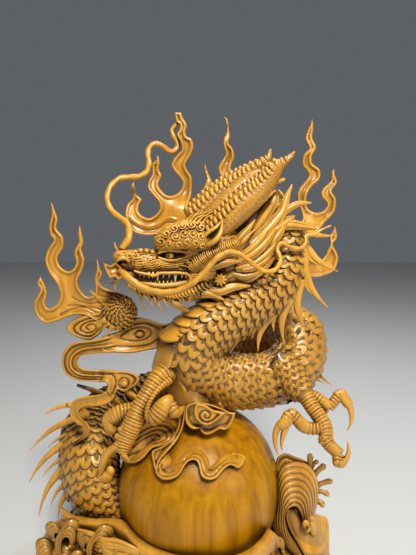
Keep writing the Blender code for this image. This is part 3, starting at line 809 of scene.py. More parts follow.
# The flames, as carved plates.
flames = heap()
CLUSTER_A = (
    (-33.4, 165), (-32.6, 165.2), (-28, 165), (-27, 164.6), (-25, 159), (-21.3, 152.7), (-22.6, 145.6),
    (-21.3, 141), (-16.8, 138.5), (-14.7, 131.5), (-16.8, 123.2), (-22.2, 113.3), (-20.9, 107.5),
    (-16.8, 100.9), (-16, 92.6), (-16.8, 81.8), (-19.3, 71.8), (-18, 58), (-26, 48), (-40, 44), (-54, 42),
    (-66, 42), (-76, 46), (-81, 54), (-83, 64), (-80.6, 73.5), (-75.7, 79.3), (-77.3, 88.4), (-74.8, 95.5),
    (-74.4, 95.5), (-73.2, 90.1), (-71.5, 83.4), (-66.3, 77.6), (-69, 71.8), (-69.4, 66), (-64.9, 61.1),
    (-58.2, 59.4), (-50.8, 64.4), (-48.5, 70.2), (-50, 76), (-54.9, 81.8), (-60.3, 89.2), (-59.9, 96.7),
    (-56.2, 103), (-56.2, 113.3), (-52.4, 116.6), (-50.6, 122), (-50.2, 122), (-48.3, 115), (-49.1, 108.3),
    (-46.6, 101.7), (-49.5, 94.2), (-48.3, 89.2), (-42.5, 83), (-35.9, 81.8), (-28.4, 86), (-25.5, 93.4),
    (-28.4, 100), (-34.2, 106.7), (-36.7, 112.5), (-33.4, 120), (-26.7, 127.8), (-28, 135), (-31.3, 142.7),
    (-28.8, 148.1), (-28.8, 153.1), (-31.6, 155), (-33.2, 160),
)
slab(
    flames, CLUSTER_A,
    lean(
        (-30, 160, -12), (-22, 130, -10), (-26, 95, -10), (-30, 60, 4), (-60, 110, -8), (-52, 70, 2),
        (-74, 90, 0), (-74, 52, 8),
    ),
    thick=8, spacing=1.02, grooves=[((-80, 57), (-70, 50), (-60, 47), (-50, 49), (-41, 55), (-33, 54))],
    ridges=[
        ((-79, 62), (-71, 54.6), (-60, 51), (-50, 53.6), (-40, 59.6), (-32, 58)),
        ((-29, 141), (-26, 132), (-30, 124)),
    ],
)
CLUSTER_B = (
    (16.5, 160.6), (16.9, 160.6), (19.8, 156.8), (20.8, 147.6), (21.8, 141.5), (20.8, 134.3), (24.9, 128.2),
    (26.1, 120), (22.8, 110.9), (23.8, 103.7), (26.1, 96.6), (30, 80), (14, 66), (0, 62), (-8, 66),
    (-4.2, 77.2), (-5.2, 86.4), (-1.7, 97.6), (-3.2, 104.7), (-3.4, 113), (-3, 113), (-1.2, 107.8),
    (3.4, 96.6), (2.9, 88.4), (6, 80.6), (8.7, 85), (9.3, 85), (10.5, 81.4), (15.7, 84.3), (14.7, 94.5),
    (10.6, 106.8), (11.6, 112.9), (17.2, 123.1), (15.2, 131.3), (15.7, 138.4), (18.7, 146.6), (17.7, 154.7),
)
slab(
    flames, CLUSTER_B,
    lean((17, 160, -30), (20, 120, -26), (22, 90, -12), (14, 66, 4), (-3, 112, -12), (0, 75, 0)), thick=8,
    spacing=1.02,
)
CLUSTER_C = (
    (104, 157.5), (104.4, 157.5), (105.3, 148.6), (104.4, 139.4), (108, 130.2), (103.9, 121.1),
    (104.4, 113.9), (111.6, 107.8), (111.6, 98.6), (103.4, 90.4), (98.8, 81.3), (99.3, 70), (107.5, 64.9),
    (115.7, 67), (118.7, 74.1), (113.1, 81.3), (114.7, 88.4), (121.8, 95.6), (123.3, 103.7), (125.5, 108.4),
    (125.9, 108.4), (126.9, 102.7), (128.9, 94.5), (123.8, 86.4), (127.9, 78.2), (126.4, 66), (117.7, 55.8),
    (111.6, 48), (102, 40), (88, 34), (84, 48), (92.2, 54.7), (94.2, 61.9), (89.1, 78.2), (91.2, 88.4),
    (100.4, 101.7), (94.2, 112.9), (95.3, 122.1), (100.9, 129.2), (97.3, 137.4), (98.8, 145.6),
    (102.4, 152.7),
)
slab(
    flames, CLUSTER_C,
    lean(
        (104, 157, -36), (104, 110, -32), (95, 75, -24), (100, 50, -12), (126, 105, -32), (122, 70, -26),
        (90, 36, 0),
    ),
    thick=9, spacing=1.02,
)
CLUSTER_D = (
    (-156.7, 74.6), (-156.3, 74.6), (-150.5, 59), (-151.4, 49), (-145, 40), (-145, 30), (-150, 21),
    (-148.4, 12), (-141, 6.4), (-134.5, 9), (-132.2, 16), (-134, 25), (-129.6, 35), (-130, 43),
    (-128.6, 51.6), (-128.2, 51.6), (-124.6, 36), (-126.4, 28), (-123.4, 17), (-125.4, 8), (-130, -3),
    (-128, -12), (-121, -19), (-114, -17), (-112.6, -10), (-113.6, -2), (-111.6, 8), (-111.2, 17.6),
    (-110.8, 17.6), (-108, 9), (-105.6, 3), (-108.6, -4), (-104, -10), (-92, -14), (-78, -20), (-70, -34),
    (-80, -50), (-98, -52), (-112, -44), (-124, -38), (-137, -38.5), (-149, -43), (-161, -46), (-169, -42),
    (-174, -32), (-173, -23), (-168, -13), (-171, -6), (-167.7, 0.6), (-167.3, 0.6), (-163, -8),
    (-161, -16), (-163, -26), (-159, -31), (-151.4, -27), (-148, -18), (-151, -7), (-159, 5), (-163, 17),
    (-160, 28), (-154.6, 37), (-158, 43), (-159, 51), (-156.6, 63),
)
slab(
    flames, CLUSTER_D,
    lean(
        (-156, 74, 28), (-155, 20, 30), (-148, -30, 32), (-170, -30, 30), (-128, 50, 32), (-128, 0, 34),
        (-111, 16, 36), (-112, -30, 34), (-90, -35, 30),
    ),
    thick=9, spacing=1.02,
    grooves=[
        ((-148, -37), (-134, -31), (-120, -29), (-106, -33)),
        ((-136, -20), (-128, -24), (-118, -26), (-106, -24)),
        ((-140, -28), (-130, -28), (-118, -32), (-108, -38)),
    ],
)
CLUSTER_E = (
    (126.8, 50.6), (127.2, 50.6), (129, 40), (125, 33), (129, 24), (130, 17), (126, 7), (118, 2.6),
    (108, 0), (96, 2), (84, 12), (84, 34), (98, 30), (101, 22), (108, 17), (115, 19), (119, 26), (122, 33),
    (121.6, 41), (124.6, 46),
)
slab(
    flames, CLUSTER_E, lean((127, 50, -30), (124, 20, -26), (104, 8, -16), (88, 20, 0)), thick=8,
    spacing=1.02,
)

# The whiskers.
whiskers = heap()


def grained(s, angle, radius, length):
    """Faint lines that wind along a whisker."""
    return 0.16 * np.sin(s * 0.5 + 3 * np.sin(angle)), 0 * s


tube(
    whiskers,
    [
        (-88, 7, 66, 3.8), (-82.5, 2, 72, 4.1), (-75, -4.5, 75, 4.1), (-65.9, -10, 77, 3.9),
        (-55, -13.6, 79, 3.7), (-44.2, -15, 80, 3.6), (-33, -13.8, 80, 3.5), (-24, -10.6, 80, 3.4),
        (-13.6, -4.2, 80, 3.3), (-6, 2.8, 79, 3.2), (0.4, 9.8, 79, 3.1), (6, 16.6, 78, 3.0),
        (12.5, 22.2, 77, 2.9), (22, 25.7, 76, 2.7), (32.3, 23.2, 73, 2.6), (39, 18.4, 71, 2.5),
        (45, 13.6, 68, 2.4), (51, 8.8, 64, 2.4), (57, 6.2, 62, 2.4), (63.5, 6.2, 60, 2.4),
        (69, 9.6, 57, 2.3), (72.5, 16.2, 53, 2.3), (71.6, 22, 50, 2.2), (69.2, 27.4, 47, 2.2),
        (70.8, 32.6, 44, 2.1), (75, 34.4, 43, 2.1), (80, 31.4, 42, 2.1), (88, 29.2, 40, 2.1),
        (94.5, 30, 37, 2.0), (98, 36, 34, 1.9), (98.4, 42, 32, 1.8), (107, 43, 30, 1.6), (112, 47, 29, 1.3),
        (123, 52, 28, 0.7),
    ],
    around=18, step=1.0, bump=grained,
)
tube(
    whiskers,
    [
        (-86, 28, 60, 4.2), (-80, 38, 58, 3.8), (-79, 47, 54, 3.5), (-82, 55, 48, 3.2),
        (-94.7, 65.2, 38, 2.9), (-100.1, 74.3, 34, 2.8), (-100.5, 83.4, 30, 2.8), (-96.4, 92.6, 26, 2.8),
        (-88.1, 99.2, 22, 2.9), (-77.3, 100.4, 18, 3.0), (-68.2, 101.4, 14, 3.0), (-61.6, 105.8, 10, 3.0),
        (-59.1, 113.3, 6, 2.9), (-59.9, 121.6, 3, 2.8), (-59.1, 129.1, 0, 2.8), (-53.3, 133.8, -2, 2.8),
        (-46.6, 132, -4, 2.8), (-40, 127.2, -6, 2.8), (-35, 126, -8, 2.8), (-31, 130, -10, 2.6),
        (-30.8, 135.7, -11, 2.5), (-34.6, 141.5, -11, 2.4), (-36, 147.3, -12, 2.2), (-33, 151.8, -12, 2.0),
        (-30, 156, -12, 1.6),
    ],
    around=14, step=1.0, bump=grained,
)

# The horns: broad furry beams with two rows of slanted beads.
horns = heap()
HORN_BACK = [
    (-16, 58, 36, 13), (4, 76, 32, 14), (22, 89, 29, 14), (38, 100, 27, 12), (47, 108, 26, 8.5),
    (54, 114, 26, 5.5), (60, 119, 26, 3.4), (62.5, 128.5, 26, 1),
]
HORN_FRONT = [
    (2, 42, 54, 12), (18, 58, 54, 14), (34, 74, 52, 15), (50, 88, 48, 13.5), (60, 99, 46, 11),
    (66.5, 108.5, 44.5, 9), (71.5, 113, 43.5, 6), (77, 116, 43, 3.6), (82, 120.4, 43, 2.8),
    (87, 126, 42, 0.9),
]


def shagreen(s, angle, radius, length):
    """Small grains all over a horn, with painted shade between them."""
    grain = np.sin(s * 2.6 + 2 * np.sin(angle * 9)) * np.sin(angle * radius * 2.3 + np.sin(s * 1.3))
    rough = 0.45 * grain * np.clip(radius / 5, 0.3, 1)
    return rough, np.clip(-grain, 0, 1) * 0.35


BEAD_SPACING = 5.6
BEAD_TAPER = ((-1.0, 0.25), (-0.6, 0.8), (0, 1.0), (0.55, 0.85), (1.0, 0.3))


def beads(into, stations, lanes):
    """Rows of slanted drops along a horn: lane angle, half length and half width."""
    path, along = run_through(stations, 0.5)
    tangent, side, other = tube_frames(path, TOWARD_EYE)
    for lane, long, wide in lanes:
        for s in np.arange(3, along[-1] * 0.93, BEAD_SPACING):
            k = row_at(along, s)
            radius = path[k, 3]
            shrink = min(1.0, 0.35 + radius / 13)
            normal = math.cos(lane) * side[k] + math.sin(lane) * other[k]
            across = np.cross(normal, tangent[k])
            way = across + 0.45 * tangent[k]
            way /= np.linalg.norm(way)
            place = path[k, :3] + normal * (radius - 0.2)
            drop = []
            for t, r in BEAD_TAPER:
                drop.append((*(place + way * t * long * shrink - normal * 0.5 * t * t), wide * r * shrink))
            tube(into, drop, around=8, step=1.6, blunt=0.8)


tube(horns, HORN_BACK, around=72, step=1.0, bump=shagreen)
tube(horns, HORN_FRONT, around=82, step=0.95, bump=shagreen)
tube(
    horns, [(-2, 56, 44, 9), (14, 72, 42, 10), (32, 90, 38, 9.5), (46, 100, 34, 8), (54, 106, 32, 4)],
    around=36, step=1.4, bump=shagreen,
)
beads(horns, HORN_BACK, ((-1.25, 4.4, 2.2), (-0.55, 5.4, 2.5)))
beads(horns, HORN_FRONT, ((-1.15, 4.6, 2.3), (-0.45, 5.6, 2.6)))
tube(horns, [(62, 98, 46, 5), (70, 96.5, 46, 3), (77, 98.5, 46, 1.4)], around=14, step=1.0)
tube(
    horns, [(42, 72, 52, 5), (51, 76.5, 52, 4), (60, 82, 51, 2.6), (67.6, 87.4, 50, 0.8)], around=14,
    step=1.0,
)

# The mane.
mane = heap()


def furrowed(s, angle, radius, length):
    """Five furrows along a lock of hair, with painted shade in them."""
    wave = np.cos(5 * angle)
    return 0.35 * wave * np.clip(radius / 3, 0, 1.6), np.clip(-wave, 0, 1) * 0.6 * np.clip(radius / 5, 0, 1)


LOCKS = (
    (
        (28, 14, 44, 8), (40, 28, 44, 10), (53, 40, 42, 8), (66, 55, 38, 6.5), (74, 66, 35, 5),
        (78, 78, 33, 3.4), (84, 93, 30, 0.7),
    ),
    ((66, 56, 34, 5), (76, 66, 32, 4.4), (90, 73.5, 30, 2.8), (103.4, 74.6, 26, 0.7)),
    ((62, 48, 34, 5), (72, 56, 33, 4), (80, 59, 32, 2.4), (87, 61.4, 30, 0.7)),
    ((20, 26, 52, 5), (30, 38, 52, 4.4), (40, 49, 50, 3), (47, 58, 48, 0.7)),
    ((22, 22, 52, 4), (34, 35, 52, 3.4), (41, 43, 50, 2), (47, 47.5, 48, 0.6)),
    ((46, 46, 40, 6), (58, 64, 38, 6), (66, 78, 36, 5), (67.7, 87.4, 34, 0.7)),
    ((56, 58, 34, 6), (68, 70, 32, 5), (76, 78, 30, 3), (70, 88, 30, 0.7)),
    ((22, 4, 48, 6), (36, 0, 50, 6.4), (48, 5, 49, 5.4), (58, 13, 46, 4), (68, 22, 42, 0.8)),
    ((28, 10, 52, 5), (42, 12, 53, 5), (54, 20, 50, 4.6), (64, 30, 46, 3.4), (71, 41, 40, 0.8)),
    ((28, 16, 54, 5), (42, 22, 54, 5.4), (54, 32, 51, 4.8), (63, 43, 46, 3.2), (69, 53, 40, 0.8)),
    ((34, 8, 54, 3), (46, 10, 54, 3.4), (57, 17, 50, 2.8), (66, 25.5, 46, 0.6)),
    ((30, 20, 56, 3), (42, 28, 56, 3.2), (52, 38, 53, 2.6), (60, 48, 48, 0.6)),
    ((72, 52, 34, 5), (84, 52.6, 33, 4.8), (96, 51, 30, 3.6), (108, 48.6, 26, 0.8)),
    ((58, 26, 42, 5), (65, 36, 43, 5), (72, 46, 40, 4), (78, 55, 36, 0.8)),
    ((60, 40, 40, 5), (68, 48, 40, 4.6), (76, 54, 37, 3.2), (86, 60, 33, 0.8)),
    ((2, 10, 60, 4.5), (12, 13.6, 61, 4.4), (22, 15.6, 60, 3.2), (33.6, 16, 58, 0.7)),
    ((0, -13, 56, 4), (12, -13.5, 57, 4.6), (26, -9.5, 56, 3.8), (42.7, -8.3, 54, 0.7)),
    ((20, -3, 50, 5), (34, -1, 48, 4), (49, 1.6, 46, 0.7)),
    ((22, -5, 48, 4), (34, -5, 47, 3), (43.5, -2.5, 46, 0.7)),
    ((-6, -15, 56, 5.5), (4, -17, 57, 3.6), (16.5, -22.8, 57, 0.7)),
    ((-36, -22, 58, 3.4), (-31.7, -27, 59, 3.2), (-25, -31, 59, 2.6), (-19, -33.5, 59, 0.8)),
)
for stations in LOCKS:
    tube(mane, stations, around=20, step=1.3, bump=furrowed, flat=0.7)
# A mass under the locks, painted dark as shade.
tube(
    mane, [(22, 38, 36, 12), (38, 54, 33, 11), (50, 66, 30, 8), (60, 76, 28, 3)], around=20, step=2.0,
    dark=0.85,
)


def fuse(parts, size):
    """One skin over all the shapes of a heap: its points, outward ways, quads and a tree to land on."""
    raw = build("raw", parts, wood, mapped=False)
    skin = raw.modifiers.new("skin", "REMESH")
    skin.mode = "VOXEL"
    skin.voxel_size = size
    soften = raw.modifiers.new("soften", "SMOOTH")
    soften.factor = 0.5
    soften.iterations = 3
    bpy.context.view_layer.update()
    result = raw.evaluated_get(bpy.context.evaluated_depsgraph_get())
    made = result.to_mesh()
    points = np.zeros(len(made.vertices) * 3)
    made.vertices.foreach_get("co", points)
    ways = np.zeros(len(made.vertices) * 3)
    made.vertex_normals.foreach_get("vector", ways)
    corners = np.zeros(len(made.loops), np.int32)
    made.loops.foreach_get("vertex_index", corners)
    quads = corners.reshape(-1, 4)
    points, ways = points.reshape(-1, 3), ways.reshape(-1, 3)
    tree = BVHTree.FromPolygons([tuple(p) for p in points], [tuple(int(k) for k in q) for q in quads])
    result.to_mesh_clear()
    mesh = raw.data
    bpy.data.objects.remove(raw)
    bpy.data.meshes.remove(mesh)
    return points, ways, quads, tree


OFF_SKIN = 50.0


def settle(tree, stations, lift):
    """Drops (x, y, half width) stations on to the skin as the eye sees it."""
    settled = []
    for x, y, half in stations:
        hit = tree.ray_cast(Vector((x, y, 300)), Vector((0, 0, -1)))[0]
        forward = hit.z if hit is not None else (settled[-1][2] - lift if settled else OFF_SKIN)
        settled.append((x, y, forward + lift, half))
    forwards = np.array([station[2] for station in settled])
    if len(forwards) > 4:
        padded = np.concatenate([forwards[:1], forwards, forwards[-1:]])
        forwards = (padded[:-2] + 2 * padded[1:-1] + padded[2:]) / 4
    return [(x, y, f, half) for (x, y, _, half), f in zip(settled, forwards)]


def curl(into, tree, x, y, size, start=0.0, turns=1.35, way=1, half=1.1, lift=0.5):
    """A spiral lock lying on the skin, its tail thinner than its eye."""
    stations = []
    for t in np.linspace(0, 1, 16):
        angle = start + way * turns * 2 * math.pi * t
        reach = size * (1 - 0.80 * t)
        stations.append(
            (x + reach * math.cos(angle), y + reach * math.sin(angle) * 0.9, half * (0.45 + 0.75 * t))
        )
    tube(into, settle(tree, stations, lift), around=9, step=0.9)


def groove(points, line, half):
    """How deep a flat line cuts at each point, from 0 to 1."""
    fine, _ = run_through(line, 0.6)
    return hump(nearest(points[:, :2], fine[:, :2]), 0.0, half)


# The head.
head_base = heap()
HEAD_SHAPES = (
    [
        (-48, 18, 52, 13), (-28, 28, 46, 22), (0, 32, 42, 26), (28, 26, 35, 22), (56, 26, 26, 17),
        (80, 36, 16, 13),
    ],
    [
        (-94, 18, 62, 6), (-88, 18.5, 61, 9.5), (-74, 16.5, 57, 11.5), (-56, 16, 54, 12),
        (-36, 16.5, 51, 12.5), (-16, 16, 48, 13),
    ],
    [
        (-80, -7, 56, 3), (-66, -12, 56, 5), (-50, -15.5, 55, 6.5), (-38, -16.5, 53, 7.5),
        (-12, -14, 49, 9), (14, -4, 43, 12), (32, 10, 36, 14),
    ],
    [(-50, 34, 60, 6), (-43, 41, 60, 8), (-32, 46, 56, 9), (-18, 48, 52, 11), (-2, 46, 50, 12)],
    [(-50, 30, 62, 4), (-38, 34, 66, 7), (-24, 36, 67, 8.5), (-10, 36, 66, 9), (2, 34, 62, 8)],
    [(-52, 34, 40, 4), (-40, 43, 34, 7), (-24, 48, 30, 8), (-4, 47, 26, 6)],
    [(-18, 10, 58, 6), (-8, 16, 62, 8), (4, 22, 62, 9), (18, 29, 58, 9), (30, 34, 52, 6)],
    [(-22, 0, 54, 5), (-10, 2, 56, 8), (6, 6, 54, 9)],
    [(-40, 16, 40, 12), (-70, 14, 44, 10), (-86, 16, 50, 8)],
)
for stations in HEAD_SHAPES:
    tube(head_base, stations, around=20, step=2.5)
blob(head_base, -87, 21, 66, 8.5, 6.5, 7)
blob(head_base, -78, 20, 66, 7, 6, 6)
HEAD_CELL = 1.1
skin_points, skin_ways, skin_quads, head_skin = fuse(head_base, HEAD_CELL)

front = ease(-0.2, 0.4, skin_ways[:, 2])
eye_slit = groove(skin_points, [(-49, 21), (-42, 22.5), (-36, 22.5), (-26, 23.5)], 2.0) * front
nostril = groove(skin_points, [(-89.5, 13.2), (-87, 15.2), (-83.4, 15.4), (-81.8, 14.2)], 1.2) * front
nostril_rim = groove(skin_points, [(-92.5, 13.5), (-89, 18.2), (-83, 19), (-79, 16)], 1.4) * front
wrinkle = groove(skin_points, [(-76, 22), (-77.5, 15), (-75, 9), (-70, 6)], 1.3) * front
wrinkle = np.maximum(wrinkle, groove(skin_points, [(-80.5, 12), (-78, 7), (-73, 3.5)], 1.0) * front)
tufts = waves(skin_points, 7.0, seed=11)
fine = np.sin((skin_points[:, 1] * 1.6 + 2.4 * np.sin(skin_points[:, 0] * 0.42 + 0.7 * tufts)) + 2 * tufts)
hairy = ease(-78, -70, skin_points[:, 0]) * ease(34, 24, skin_points[:, 0])
# Where the mane lies over the skin, the skin is painted dark as shade.
shade_under_mane = ease(26, 38, skin_points[:, 0])
hair = hairy * (0.35 * fine + 0.5 * tufts)
between = 0.55 * hairy * np.clip(-fine, 0, 1)
lift = -4.2 * eye_slit - 3.6 * nostril + 1.7 * nostril_rim - 0.9 * wrinkle + hair
# Painted shade in the eye slit, the nostrils and the wrinkles, and between the strands of hair.
shade = np.clip(eye_slit + nostril + 0.5 * wrinkle + between + 0.8 * shade_under_mane, 0, 1)
head = heap()
put(head, skin_points + skin_ways * lift[:, None], skin_quads, None, shade)

# The mouth's inside, a sheet painted dark as shade, the gums and the teeth.
mouth = lean((-74, 2, 54), (-50, 0, 50), (-20, 0, 46))
slab(
    head, [(-76, 5), (-60, 8), (-30, 8), (-14, 6), (-12, -6), (-30, -12), (-56, -12), (-72, -6)], mouth,
    thick=8, rim=0, dish=0, spacing=2.0, relief=painted_shade_all_over,
)
LIP = [
    (-74, 6.5, 1.2), (-68, 4.6, 1.5), (-60, 3.2, 1.6), (-55.6, 1.9, 1.6), (-51, 2.7, 1.6),
    (-47.9, 4.3, 1.6), (-40, 4.4, 1.6), (-31.7, 4.7, 1.6), (-26, 4.2, 1.6), (-21, 3.4, 1.5),
    (-17.5, 0, 1.4), (-18, -4, 1.3),
]
tube(head, [(x, y, 70 - (x + 74) * 0.12, r) for x, y, r in LIP], around=12, step=0.8)
tube(
    head,
    [
        (-72, -5, 66, 1.2), (-60, -6.5, 66, 2.0), (-46, -8, 64, 2.4), (-30, -6.5, 61, 2.4),
        (-19, -3, 58, 1.6),
    ],
    around=12, step=0.8,
)
UPPER_TEETH = (
    (-68, 1.5, 1.1), (-63.7, 0.2, 1.1), (-59, -0.6, 1.1), (-55.1, -1.2, 1.2), (-50.3, -3.6, 1.7),
    (-44.6, -0.4, 1.2), (-38.8, -0.6, 1.2), (-32.6, -4.2, 2.0), (-26, -0.6, 1.3), (-22, -0.2, 1.2),
)
for x, tip_y, half in UPPER_TEETH:
    forward = 67.5 - (x + 74) * 0.12
    tube(
        head,
        [(x, 5, forward - 1, half), (x, 2.5, forward, half * 0.95), (x - 0.3, tip_y, forward + 0.6, 0.35)],
        around=10, step=0.7, pale=0.85,
    )
for x in np.arange(-57, -20, 4.1):
    forward = 65.5 - (x + 74) * 0.13
    tube(
        head, [(x, -7.5, forward - 1, 1.3), (x, -5.5, forward, 1.1), (x + 0.3, -3.2, forward, 0.4)],
        around=8, step=0.7, pale=0.6,
    )

# The eye with its lids.
blob(head, -38, 22.2, 64.6, 4.2, 3.6, 3.6, around=24, down=16, pale=0.06)
blob(head, -39.2, 21.8, 67.5, 1.5, 1.5, 1.2, around=14, down=8, dark=1.0)
tube(
    head,
    settle(
        head_skin, [(-50, 20.6, 0.9), (-45, 18.4, 1.3), (-38, 17.2, 1.5), (-31, 17.8, 1.4), (-25, 20, 0.8)],
        1.2,
    ),
    around=12, step=0.8,
)
tube(
    head,
    settle(
        head_skin, [(-50, 24, 1.0), (-44, 26.6, 1.7), (-37, 27.4, 2.0), (-29, 26.8, 1.8), (-22, 25.5, 0.9)],
        1.6,
    ),
    around=12, step=0.8,
)

# The brows, a mass of curled tufts that run up into the horns.
CURLS = (
    (-47.5, 36, 4.4, 3.6, 1), (-42, 43.5, 4.2, 3.4, 1), (-39, 34, 4.4, 0.5, -1), (-34, 49, 4.2, 3.2, 1),
    (-32.5, 41, 4.6, 0.0, -1), (-29.5, 32.5, 4.2, 3.6, 1), (-25.5, 52, 4.0, 3.0, 1),
    (-24, 44, 4.6, 0.6, -1), (-21.5, 35, 4.6, 3.4, 1), (-16, 52.5, 4.0, 2.6, 1), (-15.5, 44, 4.6, 0.4, -1),
    (-13, 34, 4.4, 3.2, 1), (-7, 50, 4.2, 2.8, 1), (-6.5, 41, 4.2, 0.2, -1), (-6, 31, 4.0, 3.6, 1),
)
for x, y, size, start, way in CURLS:
    curl(head, head_skin, x, y, size * 1.08, start, 1.3, way, 1.5, 0.9)
# Fine tufts under the curls, and thicker ones that lie back on the horns.
FRONT_TUFTS, BACK_TUFTS = 26, 22
for number in range(FRONT_TUFTS):
    t = number / (FRONT_TUFTS - 1)
    x0, y0 = -49 + 50 * t, 28 + 6 * math.sin(t * 2.4)
    stations = [
        (x0 + 1.2 * k, y0 - 3.5 + 1.9 * k + 1.0 * math.sin(k * 1.3 + number), 1.15 - 0.11 * k)
        for k in range(6)
    ]
    tube(head, settle(head_skin, stations, 0.6), around=7, step=0.9)
for number in range(BACK_TUFTS):
    t = number / (BACK_TUFTS - 1)
    x0, y0 = -30 + 32 * t, 50 + 4 * math.sin(t * 3)
    stations = [
        (x0 + 2.3 * k, y0 + 2.0 * k + 1.2 * math.sin(k * 1.1 + number * 2), 2.0 - 0.20 * k)
        for k in range(7)
    ]
    tube(head, settle(head_skin, stations, 0.1), around=8, step=0.9)

# Wavy hair over the lip and the cheek.
for row in range(7):
    stations = []
    for x in np.arange(-73, -9 + row * 1.5, 2.2):
        lip = np.interp(x, [p[0] for p in LIP[:-1]], [p[1] for p in LIP[:-1]])
        swing = 1.25 * math.sin(x * 0.40 + row * 0.55) * (0.5 + 0.5 * math.sin(x * 0.09 + 1))
        stations.append((x, lip + 2.0 + row * 1.95 + swing, 1.0))
    cut = (row * 5) % 11
    tube(head, settle(head_skin, stations[: len(stations) - cut], 0.35), around=8, step=0.9)
for x, y, size, start, way in (
    (-66, 13, 3.6, 0.4, -1), (-58.5, 16.5, 3.4, 3.2, 1), (-50, 12.5, 3.6, 0.2, -1), (-21, 9, 3.6, 3.4, 1),
    (-13, 12, 3.4, 0.3, -1), (-17, 3, 3.2, 3.4, 1),
):
    curl(head, head_skin, x, y, size, start, 1.3, way, 1.0, 0.9)

# The scalloped ridge of the nose, the wrinkles of the snout and its small horn.
for x, y in ((-73, 26.5), (-67.5, 27.8), (-61.5, 27.6), (-55.6, 26.6)):
    curl(head, head_skin, x, y - 1.5, 3.4, 3.4, 1.1, 1, 1.5, 0.6)
    blob(head, x, y - 1.4, 60, 3.4, 3.0, 7)
for x, y, size, start in ((-89, 22.5, 3.4, 3.4), (-83.5, 24.5, 3.0, 2.8), (-78, 22.0, 3.2, 3.0)):
    curl(head, head_skin, x, y, size, start, 1.0, 1, 1.0, 0.2)
tube(
    head, [(-88, 24, 60, 2.2), (-91, 28, 60, 1.7), (-92.6, 31, 60, 1.3), (-93.6, 35.4, 60, 0.5)], around=12,
    step=0.8,
)

# The flared lip at the front, with its small points.
slab(
    head,
    [
        (-105, 14.9), (-104.8, 14.9), (-103.4, 9), (-101, 4), (-98, -0.6), (-93, 0.6), (-90, -2.6),
        (-85, 0.5), (-84, 6), (-88, 12), (-92.5, 15), (-97, 12.4), (-101, 13.2),
    ],
    lean((-105, 15, 64), (-98, 0, 70), (-86, 8, 66), (-86, 0, 70)), thick=5, spacing=0.7, rim=1.0,
    rim_at=1.2, dish=2.6, dish_to=5,
)
thorn(head, (-92, -3, 64), (-92.6, -13.4, 64), 2.2)
thorn(head, (-93, -6, 60), (-103.5, -9, 58), 1.4)

blob(head, -80, 3, 56, 7.5, 5.5, 9, dark=0.25)

# The beard: two rows of curved tufts under the jaw, with the long spikes among them.
for number, x in enumerate(np.arange(-73, 2, 3.1)):
    top = np.interp(x, [-73, -52, -36, -17, 2], [-11, -15.5, -18.5, -15, -4])
    long = 6.5 + 2.6 * math.sin(number * 2.3) + (2.0 if number % 3 == 0 else 0)
    forward = 62 - (x + 73) * 0.10
    stations = [
        (x, top + 2, forward, 1.5), (x + 0.4, top - long * 0.3, forward + 2, 1.7),
        (x + 1.8 + 0.6 * math.sin(number), top - long * 0.7, forward + 2, 1.1),
        (x + 3.6, top - long, forward + 1, 0.3),
    ]
    tube(head, stations, around=9, step=0.9)
for number, x in enumerate(np.arange(-71, -2, 3.4)):
    top = np.interp(x, [-73, -52, -36, -17, 2], [-9.5, -13.5, -16, -12.5, -2])
    forward = 67 - (x + 73) * 0.10
    stations = [
        (x, top + 1, forward - 2, 1.3), (x + 1.2, top - 2.2, forward, 1.5),
        (x + 3.4, top - 4.4, forward, 0.9), (x + 5.2, top - 4.6, forward, 0.3),
    ]
    tube(head, stations, around=9, step=0.9)
for root_x, root_y, tip_x, tip_y, half in (
    (-67, -18, -61.3, -34, 2.0), (-57, -21, -54, -31, 1.5), (-50, -21, -44.5, -35.5, 1.8),
    (-43, -22, -38.5, -31, 1.5), (-15.5, -15, -18.3, -28.5, 2.8), (-35, -20, -31, -26, 1.6),
):
    thorn(head, (root_x, root_y, 60), (tip_x, tip_y, 60), half)

# The ribbed band from the mouth's corner up behind the ear.
BAND = [
    (-20, -6, 5.0), (-17, 4, 5.5), (-12, 13, 6.0), (-3, 20, 6.2), (8, 26, 6.2), (18, 30.5, 5.6),
    (27, 34.5, 4.0),
]
band_path, band_along = run_through([(x, y, 0, r) for x, y, r in BAND], 0.5)
band_way = np.gradient(band_path[:, :2], axis=0)
band_way /= np.linalg.norm(band_way, axis=1, keepdims=True)
for s in np.arange(1, band_along[-1], 2.15):
    k = row_at(band_along, s)
    (x, y), half = band_path[k, :2], band_path[k, 3]
    along_x, along_y = band_way[k]
    stations = []
    for t in (-1.0, -0.5, 0.0, 0.5, 1.0):
        slip = 1.8 * t * t
        bar_x = x + along_y * t * half + along_x * slip
        bar_y = y - along_x * t * half + along_y * slip
        stations.append((bar_x, bar_y, 1.15 * (1.05 - 0.55 * abs(t))))
    tube(head, settle(head_skin, stations, 0.9), around=8, step=0.9)

# The ear, a leaf with a deep hollow painted dark as shade, lying on the horn's root.
tube(
    head,
    [(-6, 33, 68, 2.4), (-5, 39, 71.5, 2.2), (1, 45.5, 73, 2.1), (8.5, 50.5, 72, 1.9), (14.7, 58, 69, 0.6)],
    around=12, step=0.8,
)
tube(
    head,
    [
        (-6, 33, 68, 2.6), (1.5, 33.5, 73, 2.9), (8.5, 38.5, 75, 2.8), (12.8, 46, 73, 2.2),
        (14.7, 58, 69, 0.6),
    ],
    around=12, step=0.8,
)
slab(
    head, [(-5, 34), (-5, 39), (0, 45), (7, 50), (13, 54), (10, 46), (5, 40), (0, 35)],
    lean((-5, 35, 68), (12, 52, 68)), thick=4, rim=0, dish=0, spacing=1.2, relief=painted_shade_all_over,
)

